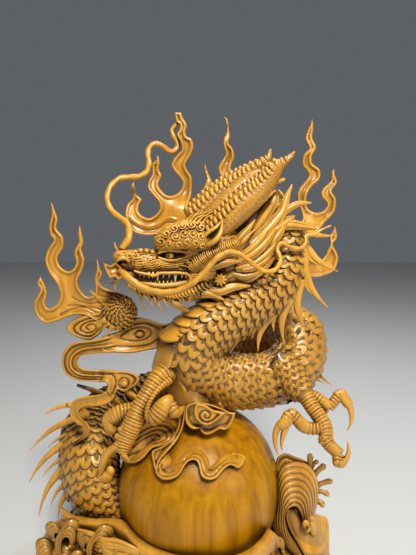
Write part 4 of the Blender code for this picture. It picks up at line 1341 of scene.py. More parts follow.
# The frilled knob behind the jaw.
KNOB = (12.4, -2.2, 58)
blob(head, *KNOB, 5.2, around=20, down=14)
FRILLS = 9
for number in range(FRILLS):
    angle = number * 2 * math.pi / FRILLS
    stations = []
    for out, rise, half in ((2, 5, 1.1), (4.6, 3.4, 1.5), (7.0, 1.5, 0.5)):
        stations.append(
            (KNOB[0] + out * math.cos(angle), KNOB[1] + out * math.sin(angle), KNOB[2] + rise, half)
        )
    tube(head, stations, around=8, step=0.9)

# The pearl and the left cloud.
clouds = heap()
PEARL = (-88.5, -35.0, 38.0, 16.0)
blob(clouds, *PEARL, around=36, down=24, dark=0.35)
PEARL_EYE = (-86.0, -31.0)
for reach, tufts, half in ((1.5, 5, 1.2), (4.6, 9, 1.5), (8.0, 13, 1.7), (11.4, 17, 1.8), (14.4, 20, 1.9)):
    for number in range(tufts):
        start = number * 2 * math.pi / tufts + reach * 0.35
        stations = []
        for t in np.linspace(0, 1, 5):
            angle = start + 0.85 * t * 4.5 / (reach + 2)
            out = reach + 4.6 * t
            x = PEARL_EYE[0] + out * math.cos(angle) + (PEARL[0] - PEARL_EYE[0]) * out / PEARL[3]
            y = PEARL_EYE[1] + out * math.sin(angle) + (PEARL[1] - PEARL_EYE[1]) * out / PEARL[3]
            side = math.hypot(x - PEARL[0], y - PEARL[1])
            front = PEARL[2] + math.sqrt(max((PEARL[3] + 0.2) ** 2 - side ** 2, 4.0))
            stations.append((x, y, front + 1.9 * t ** 2, half * (1.0 - 0.78 * t)))
        tube(clouds, stations, around=9, step=0.8)
for x, y, half in (
    (-100, -57.5, 2.4), (-90, -56.5, 2.2), (-83.5, -50, 2.2), (-74, -40, 2.2), (-113, -48, 2.4),
    (-107, -26, 2.0), (-72.5, -30, 2.0), (-77, -20, 2.0), (-95, -17, 2.0), (-106, -53, 2.2),
    (-79, -46, 2.0), (-94, -53.5, 2.0),
):
    thorn(clouds, (-88.5 + (x + 88.5) * 0.62, -35 + (y + 35) * 0.62, 46), (x, y, 44), half * 1.3)
thorn(clouds, (-98, -24, 38), (-118, -12.5, 36), 5.5, bow=-0.12)


def two_lanes(v, along):
    """A ribbon with rolled edges and two lanes parted by a rounded ridge, with painted shade in its cuts.
    """
    edges = 2.6 * hump(v, 0.07, 0.07) + 2.2 * hump(v, 0.93, 0.07)
    ridge = 2.4 * hump(v, 0.52, 0.10)
    cut = hump(v, 0.2, 0.06) + hump(v, 0.66, 0.05) + hump(v, 0.4, 0.05)
    lift = (edges + ridge - 0.8 * cut) * np.sqrt(np.clip(1 - (2 * v - 1) ** 10, 0, 1)) + 1.0
    return lift, 0.55 * cut * np.ones_like(along)


def gutter(v, along):
    """A hollow ribbon between two raised edges, painted darker in the hollow as shade."""
    edgeward = np.abs(2 * v - 1)
    lift = 3.4 * edgeward ** 2.2 - 2.6 * hump(edgeward, 1.0, 0.12)
    return lift, 0.28 * (1 - edgeward) * np.ones_like(along)


RIBBON_OUT = [
    (-84, -53, 24), (-93, -56.6, 35), (-102, -59.4, 41), (-111, -61.8, 42), (-120.6, -63.4, 42),
    (-130, -64.4, 41), (-138, -67, 39), (-143, -72, 38), (-145.8, -78, 37), (-146.4, -85, 36),
    (-144.6, -93, 36), (-139.7, -99, 36), (-133, -102.4, 36), (-124.4, -103.6, 36), (-111, -104, 36),
    (-106, -104.2, 34), (-101, -104.4, 31),
]
RIBBON_IN = [
    (-76, -74, 24), (-86, -74.8, 33), (-96.7, -75.2, 38), (-105.3, -75.4, 38), (-113, -76, 38),
    (-120.6, -77, 37), (-126.3, -78.2, 37), (-129.6, -81.4, 36), (-130.2, -84.7, 35), (-129.6, -87.4, 35),
    (-127, -89.8, 35), (-122.5, -91.9, 35), (-117, -92.6, 35), (-111, -92.9, 35), (-106, -92.8, 33),
    (-101, -92.6, 31), (-99, -92.6, 31),
]
band(clouds, RIBBON_OUT, RIBBON_IN, across=32, step=1.45, profile=two_lanes, thick=9)
JOINT = (
    (-110, -92.9), (-96.7, -92.4), (-88, -93.3), (-81.3, -93.6), (-74.7, -95.3), (-69.9, -98.6),
    (-68.4, -102.9), (-71.8, -107.7), (-76.6, -110.6), (-81.3, -113.4), (-86, -113.9), (-90.4, -112.5),
    (-93, -119), (-98, -118), (-101, -113), (-100.2, -108), (-103, -104.6), (-110, -103.9),
)
slab(
    clouds, JOINT,
    lambda points: 36.5 - 6 * ease(-100, -110, points[:, 0]) - 5 * ease(-114, -119, points[:, 1]), thick=8,
    spacing=0.85, rim=1.0, rim_at=1.4, dish=1.2,
    grooves=[
        (
            (-89, -95.6), (-79, -96.8), (-73, -101.6), (-75.6, -107), (-82, -111), (-88, -109.5),
            (-89.6, -104.4), (-85, -100.6), (-80, -102.6), (-79.8, -106.8), (-84, -108.2), (-85.6, -105.2),
        ),
        ((-110, -97), (-98, -96.6), (-93.5, -99.4), (-92, -105), (-93.4, -111), (-96, -116)),
    ],
    groove_depth=1.7, groove_half=0.85,
)
blob(clouds, -83.6, -106.4, 40, 3.4, 3.0, 2.6)
TAIL_OUT = [
    (-101.2, -106, 36), (-100.6, -111, 36), (-102.8, -114.6, 36), (-107.2, -116.8, 35),
    (-116.8, -118.2, 34), (-126.3, -119.4, 33), (-133, -122, 32), (-137, -127, 30), (-138.4, -134.5, 29),
    (-136.4, -141, 28), (-131.4, -146, 28), (-126, -149.4, 28), (-124.6, -153.5, 27), (-127, -158.6, 25),
    (-134.8, -165, 22),
]
TAIL_IN = [
    (-90.6, -108, 36), (-91.2, -113, 36), (-93.4, -119.2, 36), (-98.6, -125.4, 35), (-109, -128.4, 34),
    (-119.6, -128.6, 33), (-126, -129.9, 32), (-129.4, -133.6, 30), (-130, -137, 29), (-126.4, -141.5, 28),
    (-121.4, -145, 28), (-118.2, -150, 28), (-119, -156, 27), (-124, -161.2, 25), (-134.2, -166, 22),
]
band(clouds, TAIL_OUT, TAIL_IN, across=22, step=1.2, profile=gutter, thick=8)
SCROLL = (
    (-141.6, -51.2), (-139.6, -46.4), (-134, -42), (-124.4, -37.6), (-112, -34.6), (-103, -34), (-100, -44),
    (-106, -54), (-112, -59.6), (-118.7, -62.7), (-126.3, -61.4), (-134, -58.4), (-139.4, -55),
)
slab(
    clouds, SCROLL, lean((-120, -50, 32)), thick=11, spacing=0.85, rim=0.9, rim_at=1.5, dish=-0.8,
    grooves=[
        (
            (-104, -38), (-116, -40.4), (-127, -44), (-134, -49.6), (-132, -55), (-125, -58.4),
            (-116.6, -58.4), (-110.6, -53),
        ),
        (
            (-106, -42.6), (-117, -43.8), (-125.4, -47.4), (-127.6, -52), (-123, -55.2), (-116, -54.8),
            (-112, -51), (-113.6, -47.6), (-118.6, -47), (-122, -50), (-119.4, -52.6),
        ),
    ],
    groove_depth=2.0, groove_half=0.9,
)
CHEST_CLOUD = (
    (-106, -60), (-96, -56), (-86, -52), (-78, -44), (-74.7, -40.7), (-68, -39.8), (-58, -42), (-44, -46.4),
    (-30, -44), (-26, -60), (-36, -69), (-50.7, -71), (-63.2, -73.2), (-76.6, -75.6), (-92, -75.2),
    (-106, -74),
)
slab(
    clouds, CHEST_CLOUD, lean((-106, -66, 36), (-70, -56, 33), (-40, -56, 30)), thick=10, spacing=0.9,
    rim=0.8, rim_at=1.6, dish=1.2,
    grooves=[
        (
            (-88, -60), (-82, -53.6), (-72, -50), (-61, -50.6), (-56.4, -54.6), (-60, -60), (-70, -63),
            (-80, -63), (-88, -60.6),
        ),
        ((-74, -57), (-69, -53.6), (-64, -55.4), (-65, -59), (-70.6, -59.6), (-72.4, -57)),
        ((-104, -68), (-88, -69), (-72, -69), (-58, -66.6), (-48, -61), (-38, -58)),
        ((-78, -49), (-69, -45.6), (-58, -47), (-48, -52)),
    ],
    groove_depth=1.8, groove_half=0.9,
)
blob(clouds, -68.6, -56.6, 38, 3.4, 2.6, 2.6)
for stations in (
    [(-84, -108, 34, 3.4), (-77, -117, 32, 3.4), (-70, -121.6, 30, 2.4), (-66, -122.6, 28, 1.0)],
    [(-96, -119, 32, 3.0), (-90, -126, 28, 2.6), (-82, -132, 22, 1.0)],
):
    tube(clouds, stations, around=14, step=0.9)

# The legs.
legs = heap()


def ribbed(s, angle, radius, length):
    """Plates across a leg, each with a round back and a cut behind it, the cut painted dark as shade."""
    wave = (s / 3.3) % 1.0
    plate = np.sqrt(np.clip(1 - (2 * wave - 1) ** 2, 0, 1))
    facing_eye = 0.65 + 0.35 * np.cos(angle)
    lift = 1.7 * (plate - 0.65) * np.clip(radius / 6, 0.4, 1.1) * facing_eye
    return lift, np.clip(0.55 - plate, 0, 1) * 1.7


def knuckled(s, angle, radius, length):
    """Skin folds on a toe, with painted shade in them, gone before its claw."""
    fold = np.sin(s * 2 * np.pi / 3.6)
    fade = ease(0.75, 0.35, s / length)
    return 0.45 * fold * fade, np.clip(-fold, 0, 1) * 0.7 * fade


def keeled(s, angle, radius, length):
    """A claw's shallow keels."""
    return 0.06 * radius * np.cos(2 * angle), 0 * s


def claw(into, stations):
    tube(into, stations, around=16, step=0.8, bump=keeled)


# The thigh's core between its scales, painted dark as shade.
tube(legs, THIGH, around=30, step=1.0, dark=0.5)
tube(
    legs,
    [
        (90, -108, 16, 12), (98, -119, 20, 8.6), (104, -129, 23, 7.6), (111, -139, 25, 7.6),
        (116, -148, 26, 7.8), (118, -158, 26, 7.4), (116, -167, 26, 6),
    ],
    around=38, step=0.6, bump=ribbed,
)
tube(
    legs, [(97, -110, 14, 5.5), (104, -119, 16, 4.6), (112, -128, 17, 4), (120, -134, 17, 3)], around=18,
    step=0.9,
)
for stations in (
    [(116, -158, 26, 7), (121, -167, 28, 6.6), (127, -173, 30, 6.2), (131, -177, 31, 6.6)],
    [(131, -177, 31, 5.6), (129.5, -184, 32, 5.4), (134, -186, 32, 4.6), (137, -182, 32, 4)],
    [(104, -117, 18, 6), (113, -124, 17, 6.4), (121, -130, 16, 6)],
    [
        (121, -130, 16, 5.6), (127, -123, 15, 5.6), (132, -117, 15, 6), (137, -122, 15, 5.4),
        (141, -128, 16, 5),
    ],
    [(113, -150, 27, 7), (104, -151, 29, 6.4), (96, -149, 31, 6.6), (90, -143, 32, 6.4)],
    [(90, -143, 32, 6), (83, -138, 34, 7.2), (77, -145, 36, 6.6), (71, -149, 36, 5)],
):
    tube(legs, stations, around=26, step=0.6, bump=knuckled)
claw(
    legs,
    [
        (135, -184, 32, 3.6), (138.5, -181, 32, 3.2), (140.6, -175, 32, 2.4), (140.4, -169, 32, 1.5),
        (139.6, -163, 32, 0.5),
    ],
)
claw(
    legs,
    [
        (140, -126, 16, 4.2), (143, -133, 16, 3.4), (143.6, -141, 16, 2.4), (142, -148, 16, 1.4),
        (139, -153.4, 16, 0.5),
    ],
)
claw(
    legs,
    [
        (72, -147, 36, 4.4), (68.4, -153, 36, 3.6), (67, -161, 36, 2.8), (68, -170, 36, 1.8),
        (70.4, -177.6, 36, 0.5),
    ],
)
claw(legs, [(78, -150, 34, 4), (75, -158, 34, 3), (73.6, -166, 34, 1.8), (74, -173, 34, 0.6)])

tube(
    legs,
    [
        (-32, -92, 36, 10), (-40, -94, 44, 11), (-49, -100, 51, 9.8), (-60, -116, 54, 8.4),
        (-69, -131, 53, 8.6), (-75, -145, 51, 9.6), (-80, -156, 48, 9.6), (-84, -166, 46, 8.2),
        (-86, -175, 45, 6),
    ],
    around=40, step=0.6, bump=ribbed,
)
for x, y, f, half in (
    (-86, -152, 50, 4.6), (-89, -159, 48, 4.8), (-90, -167, 46, 4.6), (-86, -174, 46, 4.4),
):
    blob(legs, x, y, f, half, half * 0.8, half, around=18, down=12)
tube(
    legs,
    [
        (-66, -132, 44, 8), (-78, -134, 42, 9), (-90, -137, 40, 9), (-99, -143, 38, 7.5),
        (-98, -150, 38, 5.5), (-92, -154, 38, 4),
    ],
    around=26, step=0.8, bump=knuckled,
)
claw(
    legs,
    [
        (-88, -169, 45, 5), (-95, -172, 42, 5), (-101, -177, 40, 4.8), (-105, -185, 38, 4.4),
        (-107.4, -194, 34, 3.2), (-108, -198, 32, 1.6),
    ],
)
claw(legs, [(-86, -174, 46, 4), (-83, -179, 47, 3), (-78, -184.6, 47, 0.7)])
blob(legs, -104, -199, 28, 9, 8, 6, around=26, down=16)
blob(legs, -99, -194, 28, 6, 6, 6, around=22, down=14)

# The inner toe, with its comb of folds, over the globe's cloud.
tube(
    legs,
    [
        (-39, -102, 52, 5), (-48, -110, 58, 3.8), (-56, -121, 60, 3.2), (-60, -132, 61, 3.4),
        (-59, -141, 61, 4.6),
    ],
    around=24, step=0.55, bump=ribbed,
)
tube(
    legs,
    [
        (-59, -140, 60, 6), (-55, -140.5, 62, 8), (-50, -136, 64, 9), (-45, -129, 65, 8.6),
        (-40.5, -123.5, 64, 6.6), (-38, -120, 60, 4),
    ],
    around=32, step=0.7, bump=knuckled,
)
tube(
    legs,
    [
        (-42, -122, 60, 5), (-38, -128, 62, 6.6), (-34.5, -134, 62, 6.8), (-30, -135, 59, 4.6),
        (-26, -131, 55, 3),
    ],
    around=28, step=0.7, bump=knuckled,
)

# The cloud cloth over the globe.
drapes = heap()


def over_globe(lift, least):
    """A depth that follows the globe, held off by lift."""
    return lambda points: np.maximum(globe_front(points[:, 0], points[:, 1]), least) + lift


# A root under the cloth, painted dark as shade.
tube(drapes, [(-28, -100, 26, 18), (-18, -122, 30, 17), (-8, -138, 40, 13)], around=24, step=1.6, dark=0.6)
COLLAR = (
    (-22.3, -129), (-23.4, -137), (-23, -143), (-20.9, -147.6), (-16.7, -151.2), (-11.6, -152),
    (-8.8, -151.1), (-8.4, -151.1), (-6.4, -155), (-2.6, -157.3), (3, -156.7), (8.4, -153.4),
    (11.2, -151.8), (11.6, -151.8), (17, -152.5), (21.9, -149), (25.4, -142), (27.5, -135.2),
    (27.8, -135.0), (22, -134.4), (12, -130), (0, -126), (-14, -125),
)
slab(
    drapes, COLLAR, over_globe(6.5, 40), thick=8, spacing=0.85, rim=0.8, rim_at=1.4, dish=2.2, dish_to=4.5,
    grooves=[
        (
            (-19, -133), (-18.5, -141), (-15, -146.5), (-10, -148), (-4, -151.5), (3, -152), (10, -148.5),
            (18, -146), (22.5, -140),
        )
    ],
    groove_depth=1.2, groove_half=0.8,
)
COLLAR_LOBE = (
    (-13, -128), (-14.2, -136), (-11, -143), (-5.5, -147.4), (0.5, -147.9), (7.2, -144.4), (13, -139.9),
    (18.3, -135.5), (18.7, -135.2), (12, -133.6), (5, -132), (-2, -127.5), (-8, -126),
)
slab(
    drapes, COLLAR_LOBE, over_globe(12, 42), thick=8, spacing=0.85, rim=0.7, dish=1.0,
    grooves=[
        (
            (10, -137.5), (4.5, -142.8), (-1.5, -144.6), (-7, -142), (-8.6, -137), (-5, -133.4),
            (0.6, -134.4), (2.2, -138.4), (-0.6, -141), (-3.4, -139.6), (-2.6, -137.4),
        )
    ],
    groove_depth=1.8, groove_half=0.8,
)
LOBE = (
    (-60, -143), (-68, -150), (-74, -160), (-79, -170), (-86, -178), (-86.4, -182), (-80.2, -185.8),
    (-71.3, -185.2), (-63.7, -180), (-58, -173.4), (-53, -170.3), (-45.5, -168.8), (-37.2, -164.5),
    (-32.6, -157.5), (-33.4, -149.5), (-39.8, -144.4), (-47, -144), (-54, -141),
)
slab(
    drapes, LOBE, over_globe(4.5, 30), thick=9, spacing=0.8, rim=0.7, dish=0.8,
    grooves=[
        (
            (-69, -156), (-62, -151.5), (-54.6, -148.6), (-45.5, -147.9), (-38.4, -151.4), (-36, -157.5),
            (-40, -163.5), (-47, -166.4),
        ),
        (
            (-73, -163.5), (-66, -158.2), (-60.5, -155.4), (-52.5, -152.4), (-45.5, -153), (-41.4, -156.8),
            (-43.4, -162), (-50, -165.4), (-54.5, -166),
        ),
        (
            (-76, -170), (-69, -164.5), (-62, -160), (-54, -157), (-48.4, -158.6), (-49.4, -161.8),
            (-54.6, -162.6),
        ),
        ((-80, -178), (-72, -175.5), (-65, -171.5), (-61, -167.4), (-57.5, -164.6), (-55, -162.6)),
    ],
    groove_depth=1.7, groove_half=0.85,
)
STRAND = (
    (-21.6, -129), (-22.4, -138), (-23.7, -146.3), (-26.5, -154.7), (-32.1, -164.5), (-40.5, -174.4),
    (-46.9, -182.1), (-50, -188.6), (-51.6, -194), (-52.2, -194), (-54.2, -190), (-55.5, -183.5),
    (-56.9, -176.5), (-54.4, -172), (-46, -168.4), (-37.9, -163), (-33.7, -157), (-30.8, -150),
    (-29.4, -143), (-29.4, -136), (-28, -131), (-25, -128),
)
slab(
    drapes, STRAND, over_globe(6.5, 38), thick=9, spacing=0.85, rim=0.9, rim_at=1.3, dish=2.0, dish_to=4.0,
    grooves=[
        (
            (-25.6, -133), (-26.4, -145), (-30, -154.4), (-36, -163.6), (-44.6, -172), (-50.4, -180),
            (-52.6, -188),
        )
    ],
    groove_depth=1.4, groove_half=0.8,
)
HEM_LOW = (
    (-48.4, -184), (-51.6, -189.5), (-53.4, -193), (-51.1, -197.5), (-46.9, -201.5), (-40.5, -202.5),
    (-32.8, -200.3), (-27.9, -196.1), (-23.7, -189.1), (-19.5, -184.2), (-13.9, -182.6), (-10.4, -185.6),
    (-8.8, -191.2), (-6.9, -198.2), (-2.6, -201.7), (3, -202.4), (8.6, -200.3), (13.5, -194.7),
    (18.4, -189.8), (23.3, -187.8), (28.2, -190.2), (31.7, -190.4), (35.2, -186.3), (37.6, -180.4),
)
HEM_TOP = (
    (37.9, -179.4), (34.4, -176.4), (29, -175.4), (24, -172), (20, -162), (8, -156), (-8, -150),
    (-20, -146), (-26, -152), (-33, -164), (-42, -175),
)
hem_line, _ = run_through(HEM_LOW, 0.8)


def hem_depth(points):
    """The hem follows the globe and stands off it at its lower edge."""
    gap = nearest(points, hem_line[:, :2])
    return globe_front(points[:, 0], points[:, 1]) - 4.6 + 10.4 * ease(17, 1, gap)


slab(
    drapes, HEM_LOW + HEM_TOP, hem_depth, thick=4.5, spacing=0.85, rim=0.7, rim_at=1.3, dish=0.6,
    grooves=[
        ((-46.5, -187), (-46, -191.5), (-41, -194.5), (-34, -193.8)),
        (
            (-50, -191), (-49, -196), (-44, -198.8), (-37, -198.4), (-31, -195.4), (-26.6, -188.6),
            (-21.5, -181.8), (-14.4, -179.2), (-8.6, -181.6), (-6, -188.5), (-3.6, -195.6), (1.5, -198.3),
            (7.5, -196), (13, -190), (19, -185.6), (27, -185.4),
        ),
        (
            (-33, -187), (-25.6, -184.4), (-20, -178.8), (-13, -175.6), (-6.4, -178), (-3, -185),
            (0.4, -191.8), (5, -192.4), (10.6, -187.6), (18, -182),
        ),
    ],
    groove_depth=1.1, groove_half=0.9,
)
slab(
    drapes, [(-24, -190), (-19, -187.5), (-13, -186.6), (-10, -190), (-13, -188.4), (-19, -190)],
    over_globe(0.2, 26), thick=3, rim=0, dish=0,
)

# The waves.
sea = heap()
# The wave's body behind its curl, painted a little dark as shade.
tube(
    sea, [(104, -290, 6, 22), (92, -262, 8, 22), (84, -236, 8, 17), (86, -212, 6, 17), (92, -200, 2, 12)],
    around=36, step=1.6, dark=0.3,
)
CURL_OUT = [
    (92, -284, 40), (74, -268, 36), (66, -254, 30), (62.5, -239, 24), (64.5, -224.4, 20),
    (67.5, -209.7, 18), (70.5, -195, 14), (78, -186, 12), (89, -184, 10), (98.5, -186.2, 8),
    (105.5, -192.8, 6), (109.6, -203, 5), (110.8, -213.4, 6), (110, -224.4, 9), (107, -236, 14),
    (103.6, -247, 22), (101, -253, 28),
]
CURL_IN = [
    (100, -286, 46), (89, -270, 42), (81, -256, 38), (77.2, -244, 35), (77.6, -237, 34), (79.6, -232.8, 33),
    (82.4, -230.2, 33), (85.6, -229.2, 33), (88.4, -229.8, 33), (90.6, -232, 33), (92.4, -235, 33),
    (93.6, -238, 33), (94.6, -241, 33), (95.6, -244, 33), (96.4, -247, 33), (97, -249.5, 33),
    (97.4, -251.5, 33),
]


def breast(count, deep):
    """A profile of rounded ridges over a full breast, cut deep between, with painted shade in the cuts."""

    def profile(v, along):
        ridge = np.abs(np.sin(np.pi * count * v ** 0.92))
        full = 11 * np.sin(np.pi * np.clip(v * 0.86 + 0.1, 0, 1))
        return full + deep * (ridge ** 0.6 - 1), np.clip(0.5 - ridge, 0, 1) * 1.9

    return profile


def hollow_ridges(v, along):
    """Five ridges down a hollow, painted dark as shade all over and more between the ridges."""
    ridge = np.abs(np.sin(np.pi * 5 * v))
    return -6 * np.sin(np.pi * v) + 1.2 * ridge ** 0.7, 0.35 + np.clip(0.5 - ridge, 0, 1) * 1.2


band(sea, CURL_OUT, CURL_IN, across=74, step=1.5, profile=breast(8, 2.2), thick=10)
band(
    sea, [(80, -232, 31), (78.4, -240, 32), (82, -252, 34), (90, -266, 38), (100, -284, 44)],
    [(88.5, -231.5, 30), (91, -240, 24), (97, -252, 20), (104, -266, 22), (110, -284, 28)], across=46,
    step=1.4, profile=hollow_ridges, thick=8,
)
for x, y, f, half in (
    (97.6, -247, 36, 3.8), (99.4, -251.6, 34, 3), (103.4, -249, 30, 4.2), (105.4, -254, 28, 3.4),
    (103, -243, 28, 4),
):
    blob(sea, x, y, f, half, half * 1.35, half, around=18, down=12)
for number in range(5):
    x = 106 + number * 2.8
    forward = 16 - number * 5
    tube(
        sea,
        [
            (x - 1.5, -236 - number, forward - 2, 2.4), (x, -246, forward, 3.4),
            (x + 0.6, -262, forward, 3.6), (x + 0.2, -280, forward, 3.8), (x, -292, forward, 4),
        ],
        around=16, step=1.2,
    )
for x0, y0, x1, y1, half in (
    (101, -196, 102.4, -178.6, 3.4), (104, -200, 116, -188.4, 3.6), (106, -210, 122.2, -203.4, 3.4),
    (108, -214, 119.6, -216.4, 3.0), (108, -224, 115, -227, 3.4), (103, -190, 109, -184, 2.6),
):
    mx, my = (x0 + x1) / 2, (y0 + y1) / 2 + 1
    tube(
        sea,
        [
            (x0, y0, 0, half * 1.1), (mx, my, 2, half * 0.8), (x1, y1, 3, half),
            (x1 + 0.5, y1 + 0.4, 3, half * 0.8),
        ],
        around=18, step=0.8, blunt=0.7,
    )
FAR_WAVE = (
    (66, -206), (66.6, -192), (69, -181), (74, -176.6), (79, -176), (87, -179), (97, -183), (105, -190),
    (106, -206),
)
slab(
    sea, FAR_WAVE, lean((70, -178, -6), (100, -186, -8), (86, -204, 4)), thick=9, spacing=0.9, rim=0.8,
    dish=0.8,
    grooves=[
        ((67.6, -197), (71, -184.5), (77, -180.6), (86, -183), (98, -188.6)),
        ((68, -203), (72.6, -190.5), (79, -185.4), (88, -187.4), (100, -194)),
    ],
    groove_depth=1.6, groove_half=0.9,
)


def swell_lift(v, along):
    """A smooth round swell, with painted shade at its edges."""
    return 6 * np.sin(np.pi * v), 0.25 * np.clip(1 - np.sin(np.pi * v), 0, 1)


# The smooth swell that laps the tail and the globe, and the crests before it.
band(
    sea,
    [
        (-147, -228, 24), (-141, -233, 32), (-130, -239, 38), (-114, -241, 42), (-96, -240.6, 44),
        (-84, -243, 50), (-76, -252, 58), (-66, -262, 68), (-50, -271, 78), (-26, -278, 88), (10, -281, 92),
        (36, -274, 86), (52, -262, 76), (60, -250, 62),
    ],
    [
        (-148, -230, 23), (-145, -244, 34), (-132, -252, 42), (-114, -255, 46), (-98, -256, 50),
        (-88, -262, 58), (-80, -272, 66), (-70, -284, 74), (-52, -294, 82), (-26, -300, 90), (10, -302, 94),
        (44, -290, 90), (64, -274, 78), (70, -258, 62),
    ],
    across=22, step=1.6, profile=swell_lift, thick=14,
)
# A mound behind the crests, painted a little dark as shade.
tube(
    sea,
    [
        (-150, -290, 20, 26), (-140, -262, 22, 22), (-118, -262, 26, 22), (-92, -272, 36, 22),
        (-60, -288, 50, 20),
    ],
    around=40, step=1.8, dark=0.3,
)


def small_breaker(step):
    """The big wave's hooked crest again, with fewer ridges, about its own middle."""
    made = heap()
    middle = np.array([87, -228, 22])
    outer = [tuple(np.array(station) - middle) for station in CURL_OUT]
    inner = [tuple(np.array(station) - middle) for station in CURL_IN]
    band(made, outer, inner, across=20, step=step, profile=breast(5, 2.6), thick=12)
    for x, y, f, half in ((10.6, -19, 12, 5), (13, -24, 8, 5), (16.4, -17, 4, 5)):
        blob(made, x, y, f, half, half * 1.3, half, around=10, down=7)
    return made


def turned(shape, size, way, turn, deep):
    """A breaker's points at a size, mirrored and turned, and its faces."""
    points = np.vstack(shape["points"]) * (size * way, size, size * deep)
    x, y = points[:, 0].copy(), points[:, 1].copy()
    points[:, 0] = x * math.cos(turn) - y * math.sin(turn)
    points[:, 1] = x * math.sin(turn) + y * math.cos(turn)
    quads, tris = np.vstack(shape["quads"]), np.vstack(shape["tris"])
    if way < 0:
        quads, tris = quads[:, ::-1], tris[:, ::-1]
    return points, quads, tris, np.concatenate(shape["dark"])


# The small crests along the front: x, y, forward, size, which way they hook and how they are turned.
BREAKER = small_breaker(4.8)
LOW_BREAKER = small_breaker(5.0)
crests = heap()
for x, y, f, size, way, turn in (
    (-153, -256, 42, 0.30, -1, 0.5), (-140, -260, 50, 0.46, 1, -0.35), (-122, -266, 56, 0.34, -1, 0.3),
    (-108, -264, 62, 0.44, 1, -0.5), (-90, -276, 68, 0.40, -1, 0.45), (-72, -286, 76, 0.34, 1, 0.5),
    (-162, -278, 46, 0.42, 1, 0.3), (-148, -286, 56, 0.46, -1, -0.3), (-130, -290, 64, 0.42, 1, 0),
    (-110, -294, 70, 0.42, -1, 0), (-88, -300, 76, 0.40, 1, 0), (-50, -298, 86, 0.36, -1, 0.2),
    (-24, -306, 90, 0.36, 1, 0), (4, -306, 90, 0.36, -1, 0), (30, -302, 88, 0.36, 1, -0.2),
    (52, -292, 80, 0.36, -1, -0.2), (70, -294, 66, 0.40, 1, 0), (61, -268, 60, 0.26, -1, 0),
    (50, -277, 74, 0.25, 1, 0), (71, -270, 52, 0.26, 1, 0.1),
):
    points, quads, tris, dark = turned(BREAKER, size, way, turn, 0.9)
    points = points + (x, y, f)
    below = -at(points)[:, 2].min()
    if below > 0:
        points[:, 1] += below / SQUARE * 1.1
    put(crests, points, quads, tris, dark)

# The flowing strands between the crests at the lower left.
STRANDS = 9
for number in range(STRANDS):
    drop = 2.6 * number
    sway = 2.0 * math.sin(number * 1.9)
    stations = [
        (-131 + 2.2 * number, -252 - drop * 0.5, 50, 1.6), (-118, -256 - drop + sway, 59, 2.8),
        (-104, -262 - drop, 65, 3.0), (-90, -264 - drop - sway, 70, 2.8), (-76, -270 - drop * 0.7, 74, 2.4),
        (-62 + number, -277 - drop * 0.5, 76, 0.9),
    ]
    tube(crests, stations, around=9, step=1.8)

# The same crests, lower and flatter, right round the base.
wave_ring = heap()
RING_COUNT = 13
RING_SPAN = math.radians(250)
for number in range(RING_COUNT):
    angle = -math.pi / 2 + RING_SPAN * ((number + 0.5) / RING_COUNT - 0.5)
    out = np.array([math.cos(angle) * BASE_HALF[1], math.sin(angle) * BASE_HALF[0], 0])
    out /= np.linalg.norm(out)
    aside = np.array([-out[1], out[0], 0])
    foot = np.array([*(BASE_MIDDLE + BASE_HALF * (math.cos(angle), math.sin(angle)) * 0.95), 0])
    way = 1 if number % 2 else -1
    size = 0.56 + 0.07 * math.sin(number * 2.4)
    points, quads, tris, dark = turned(LOW_BREAKER, size, way, 0.12 * math.sin(number * 1.7), 0.42)
    up = 40 + 9 * math.sin(number * 2.1)
    points[:, 1] = np.maximum(points[:, 1] + up, 1.0)
    sunk = 12 * ease(50, 95, points[:, 1])
    outward = (points[:, 2:] - 1.0 - sunk[:, None]) * out
    points = foot + points[:, :1] * aside + outward + points[:, 1:2] * np.array([0, 0, 1.0])
    put(wave_ring, points * SQUARE, quads, tris, dark)

# Heaps whose points are places in space, and heaps whose points are on the sheet.
IN_SPACE = {"globe": (globe, globe_wood), "wave_base": (base, wood), "wave_ring": (wave_ring, wood)}
ON_SHEET = {
    "body_core": body, "neck_scales": neck_scales, "tail_scales": low_scales, "spines": thorns,
    "flames": flames, "whiskers": whiskers, "horns": horns, "mane": mane, "head": head, "clouds": clouds,
    "legs": legs, "globe_cloud": drapes, "waves": sea, "crests": crests,
}
pieces = {name: build(name, parts, material, mapped=False) for name, (parts, material) in IN_SPACE.items()}
for name, parts in ON_SHEET.items():
    pieces[name] = build(name, parts, horn_wood if name in ("horns", "head") else wood)

for piece in pieces.values():
    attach(piece, "root")
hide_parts("dragon_carving")

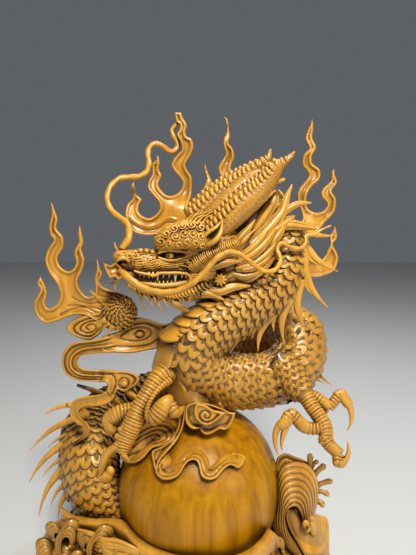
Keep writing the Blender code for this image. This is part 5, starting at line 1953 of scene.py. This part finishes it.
# The floor, the lights and the camera at the photo's eye.
FLOOR_HALF = 6.0
FLOOR_CORNERS = ((-1, -1), (1, -1), (1, 1), (-1, 1))
floor_data = bpy.data.meshes.new("floor")
floor_data.from_pydata([(x * FLOOR_HALF, y * FLOOR_HALF, 0) for x, y in FLOOR_CORNERS], [], [(0, 1, 2, 3)])
floor = bpy.data.objects.new("floor", floor_data)
bpy.context.scene.collection.objects.link(floor)
floor.location = (0, 0, cad_box[0][2])
floor_paint = bpy.data.materials.new("floor_paint")
floor_paint.use_nodes = True
floor_shader = floor_paint.node_tree.nodes["Principled BSDF"]
floor_shader.inputs["Base Color"].default_value = (0.62, 0.63, 0.64, 1)
floor_shader.inputs["Roughness"].default_value = 0.8
floor_data.materials.append(floor_paint)


def lamp(name, place, aim_up, size, power, colour):
    """A square lamp that is turned to a height over the middle of the floor."""
    data = bpy.data.lights.new(name, "AREA")
    data.energy = power
    data.size = size
    data.color = colour
    made = bpy.data.objects.new(name, data)
    made.location = place
    made.rotation_euler = (Vector((0, 0, aim_up)) - Vector(place)).to_track_quat("-Z", "Y").to_euler()
    bpy.context.scene.collection.objects.link(made)


lamp("key", (0.42, -1.78, 2.55), 0.4, 0.55, 103, (1.0, 0.93, 0.79))
lamp("fill", (1.4, -1.0, 0.9), 0.4, 0.8, 4, (0.95, 0.97, 1.0))
lamp("rim", (0.6, 0.7, 2.3), 0.5, 0.8, 20, (0.82, 0.90, 1.0))
world = bpy.context.scene.world or bpy.data.worlds.new("world")
bpy.context.scene.world = world
world.use_nodes = True
room = world.node_tree.nodes["Background"]
room.inputs["Color"].default_value = (0.75, 0.8, 0.86, 1)
room.inputs["Strength"].default_value = 0.15

PHOTO_TALL = 555
SENSOR = 36.0
camera_data = bpy.data.cameras.new("camera")
camera_data.sensor_fit = "VERTICAL"
camera_data.sensor_height = SENSOR
camera_data.lens = SENSOR * EYE_AWAY / PHOTO_TALL
camera = bpy.data.objects.new("camera", camera_data)
camera.location = (0, -EYE_AWAY * SQUARE, EYE_UP * SQUARE)
camera.rotation_euler = (math.pi / 2 - EYE_TILT, 0, 0)
bpy.context.scene.collection.objects.link(camera)
bpy.context.scene.camera = camera
bpy.context.scene.view_settings.view_transform = "Standard"
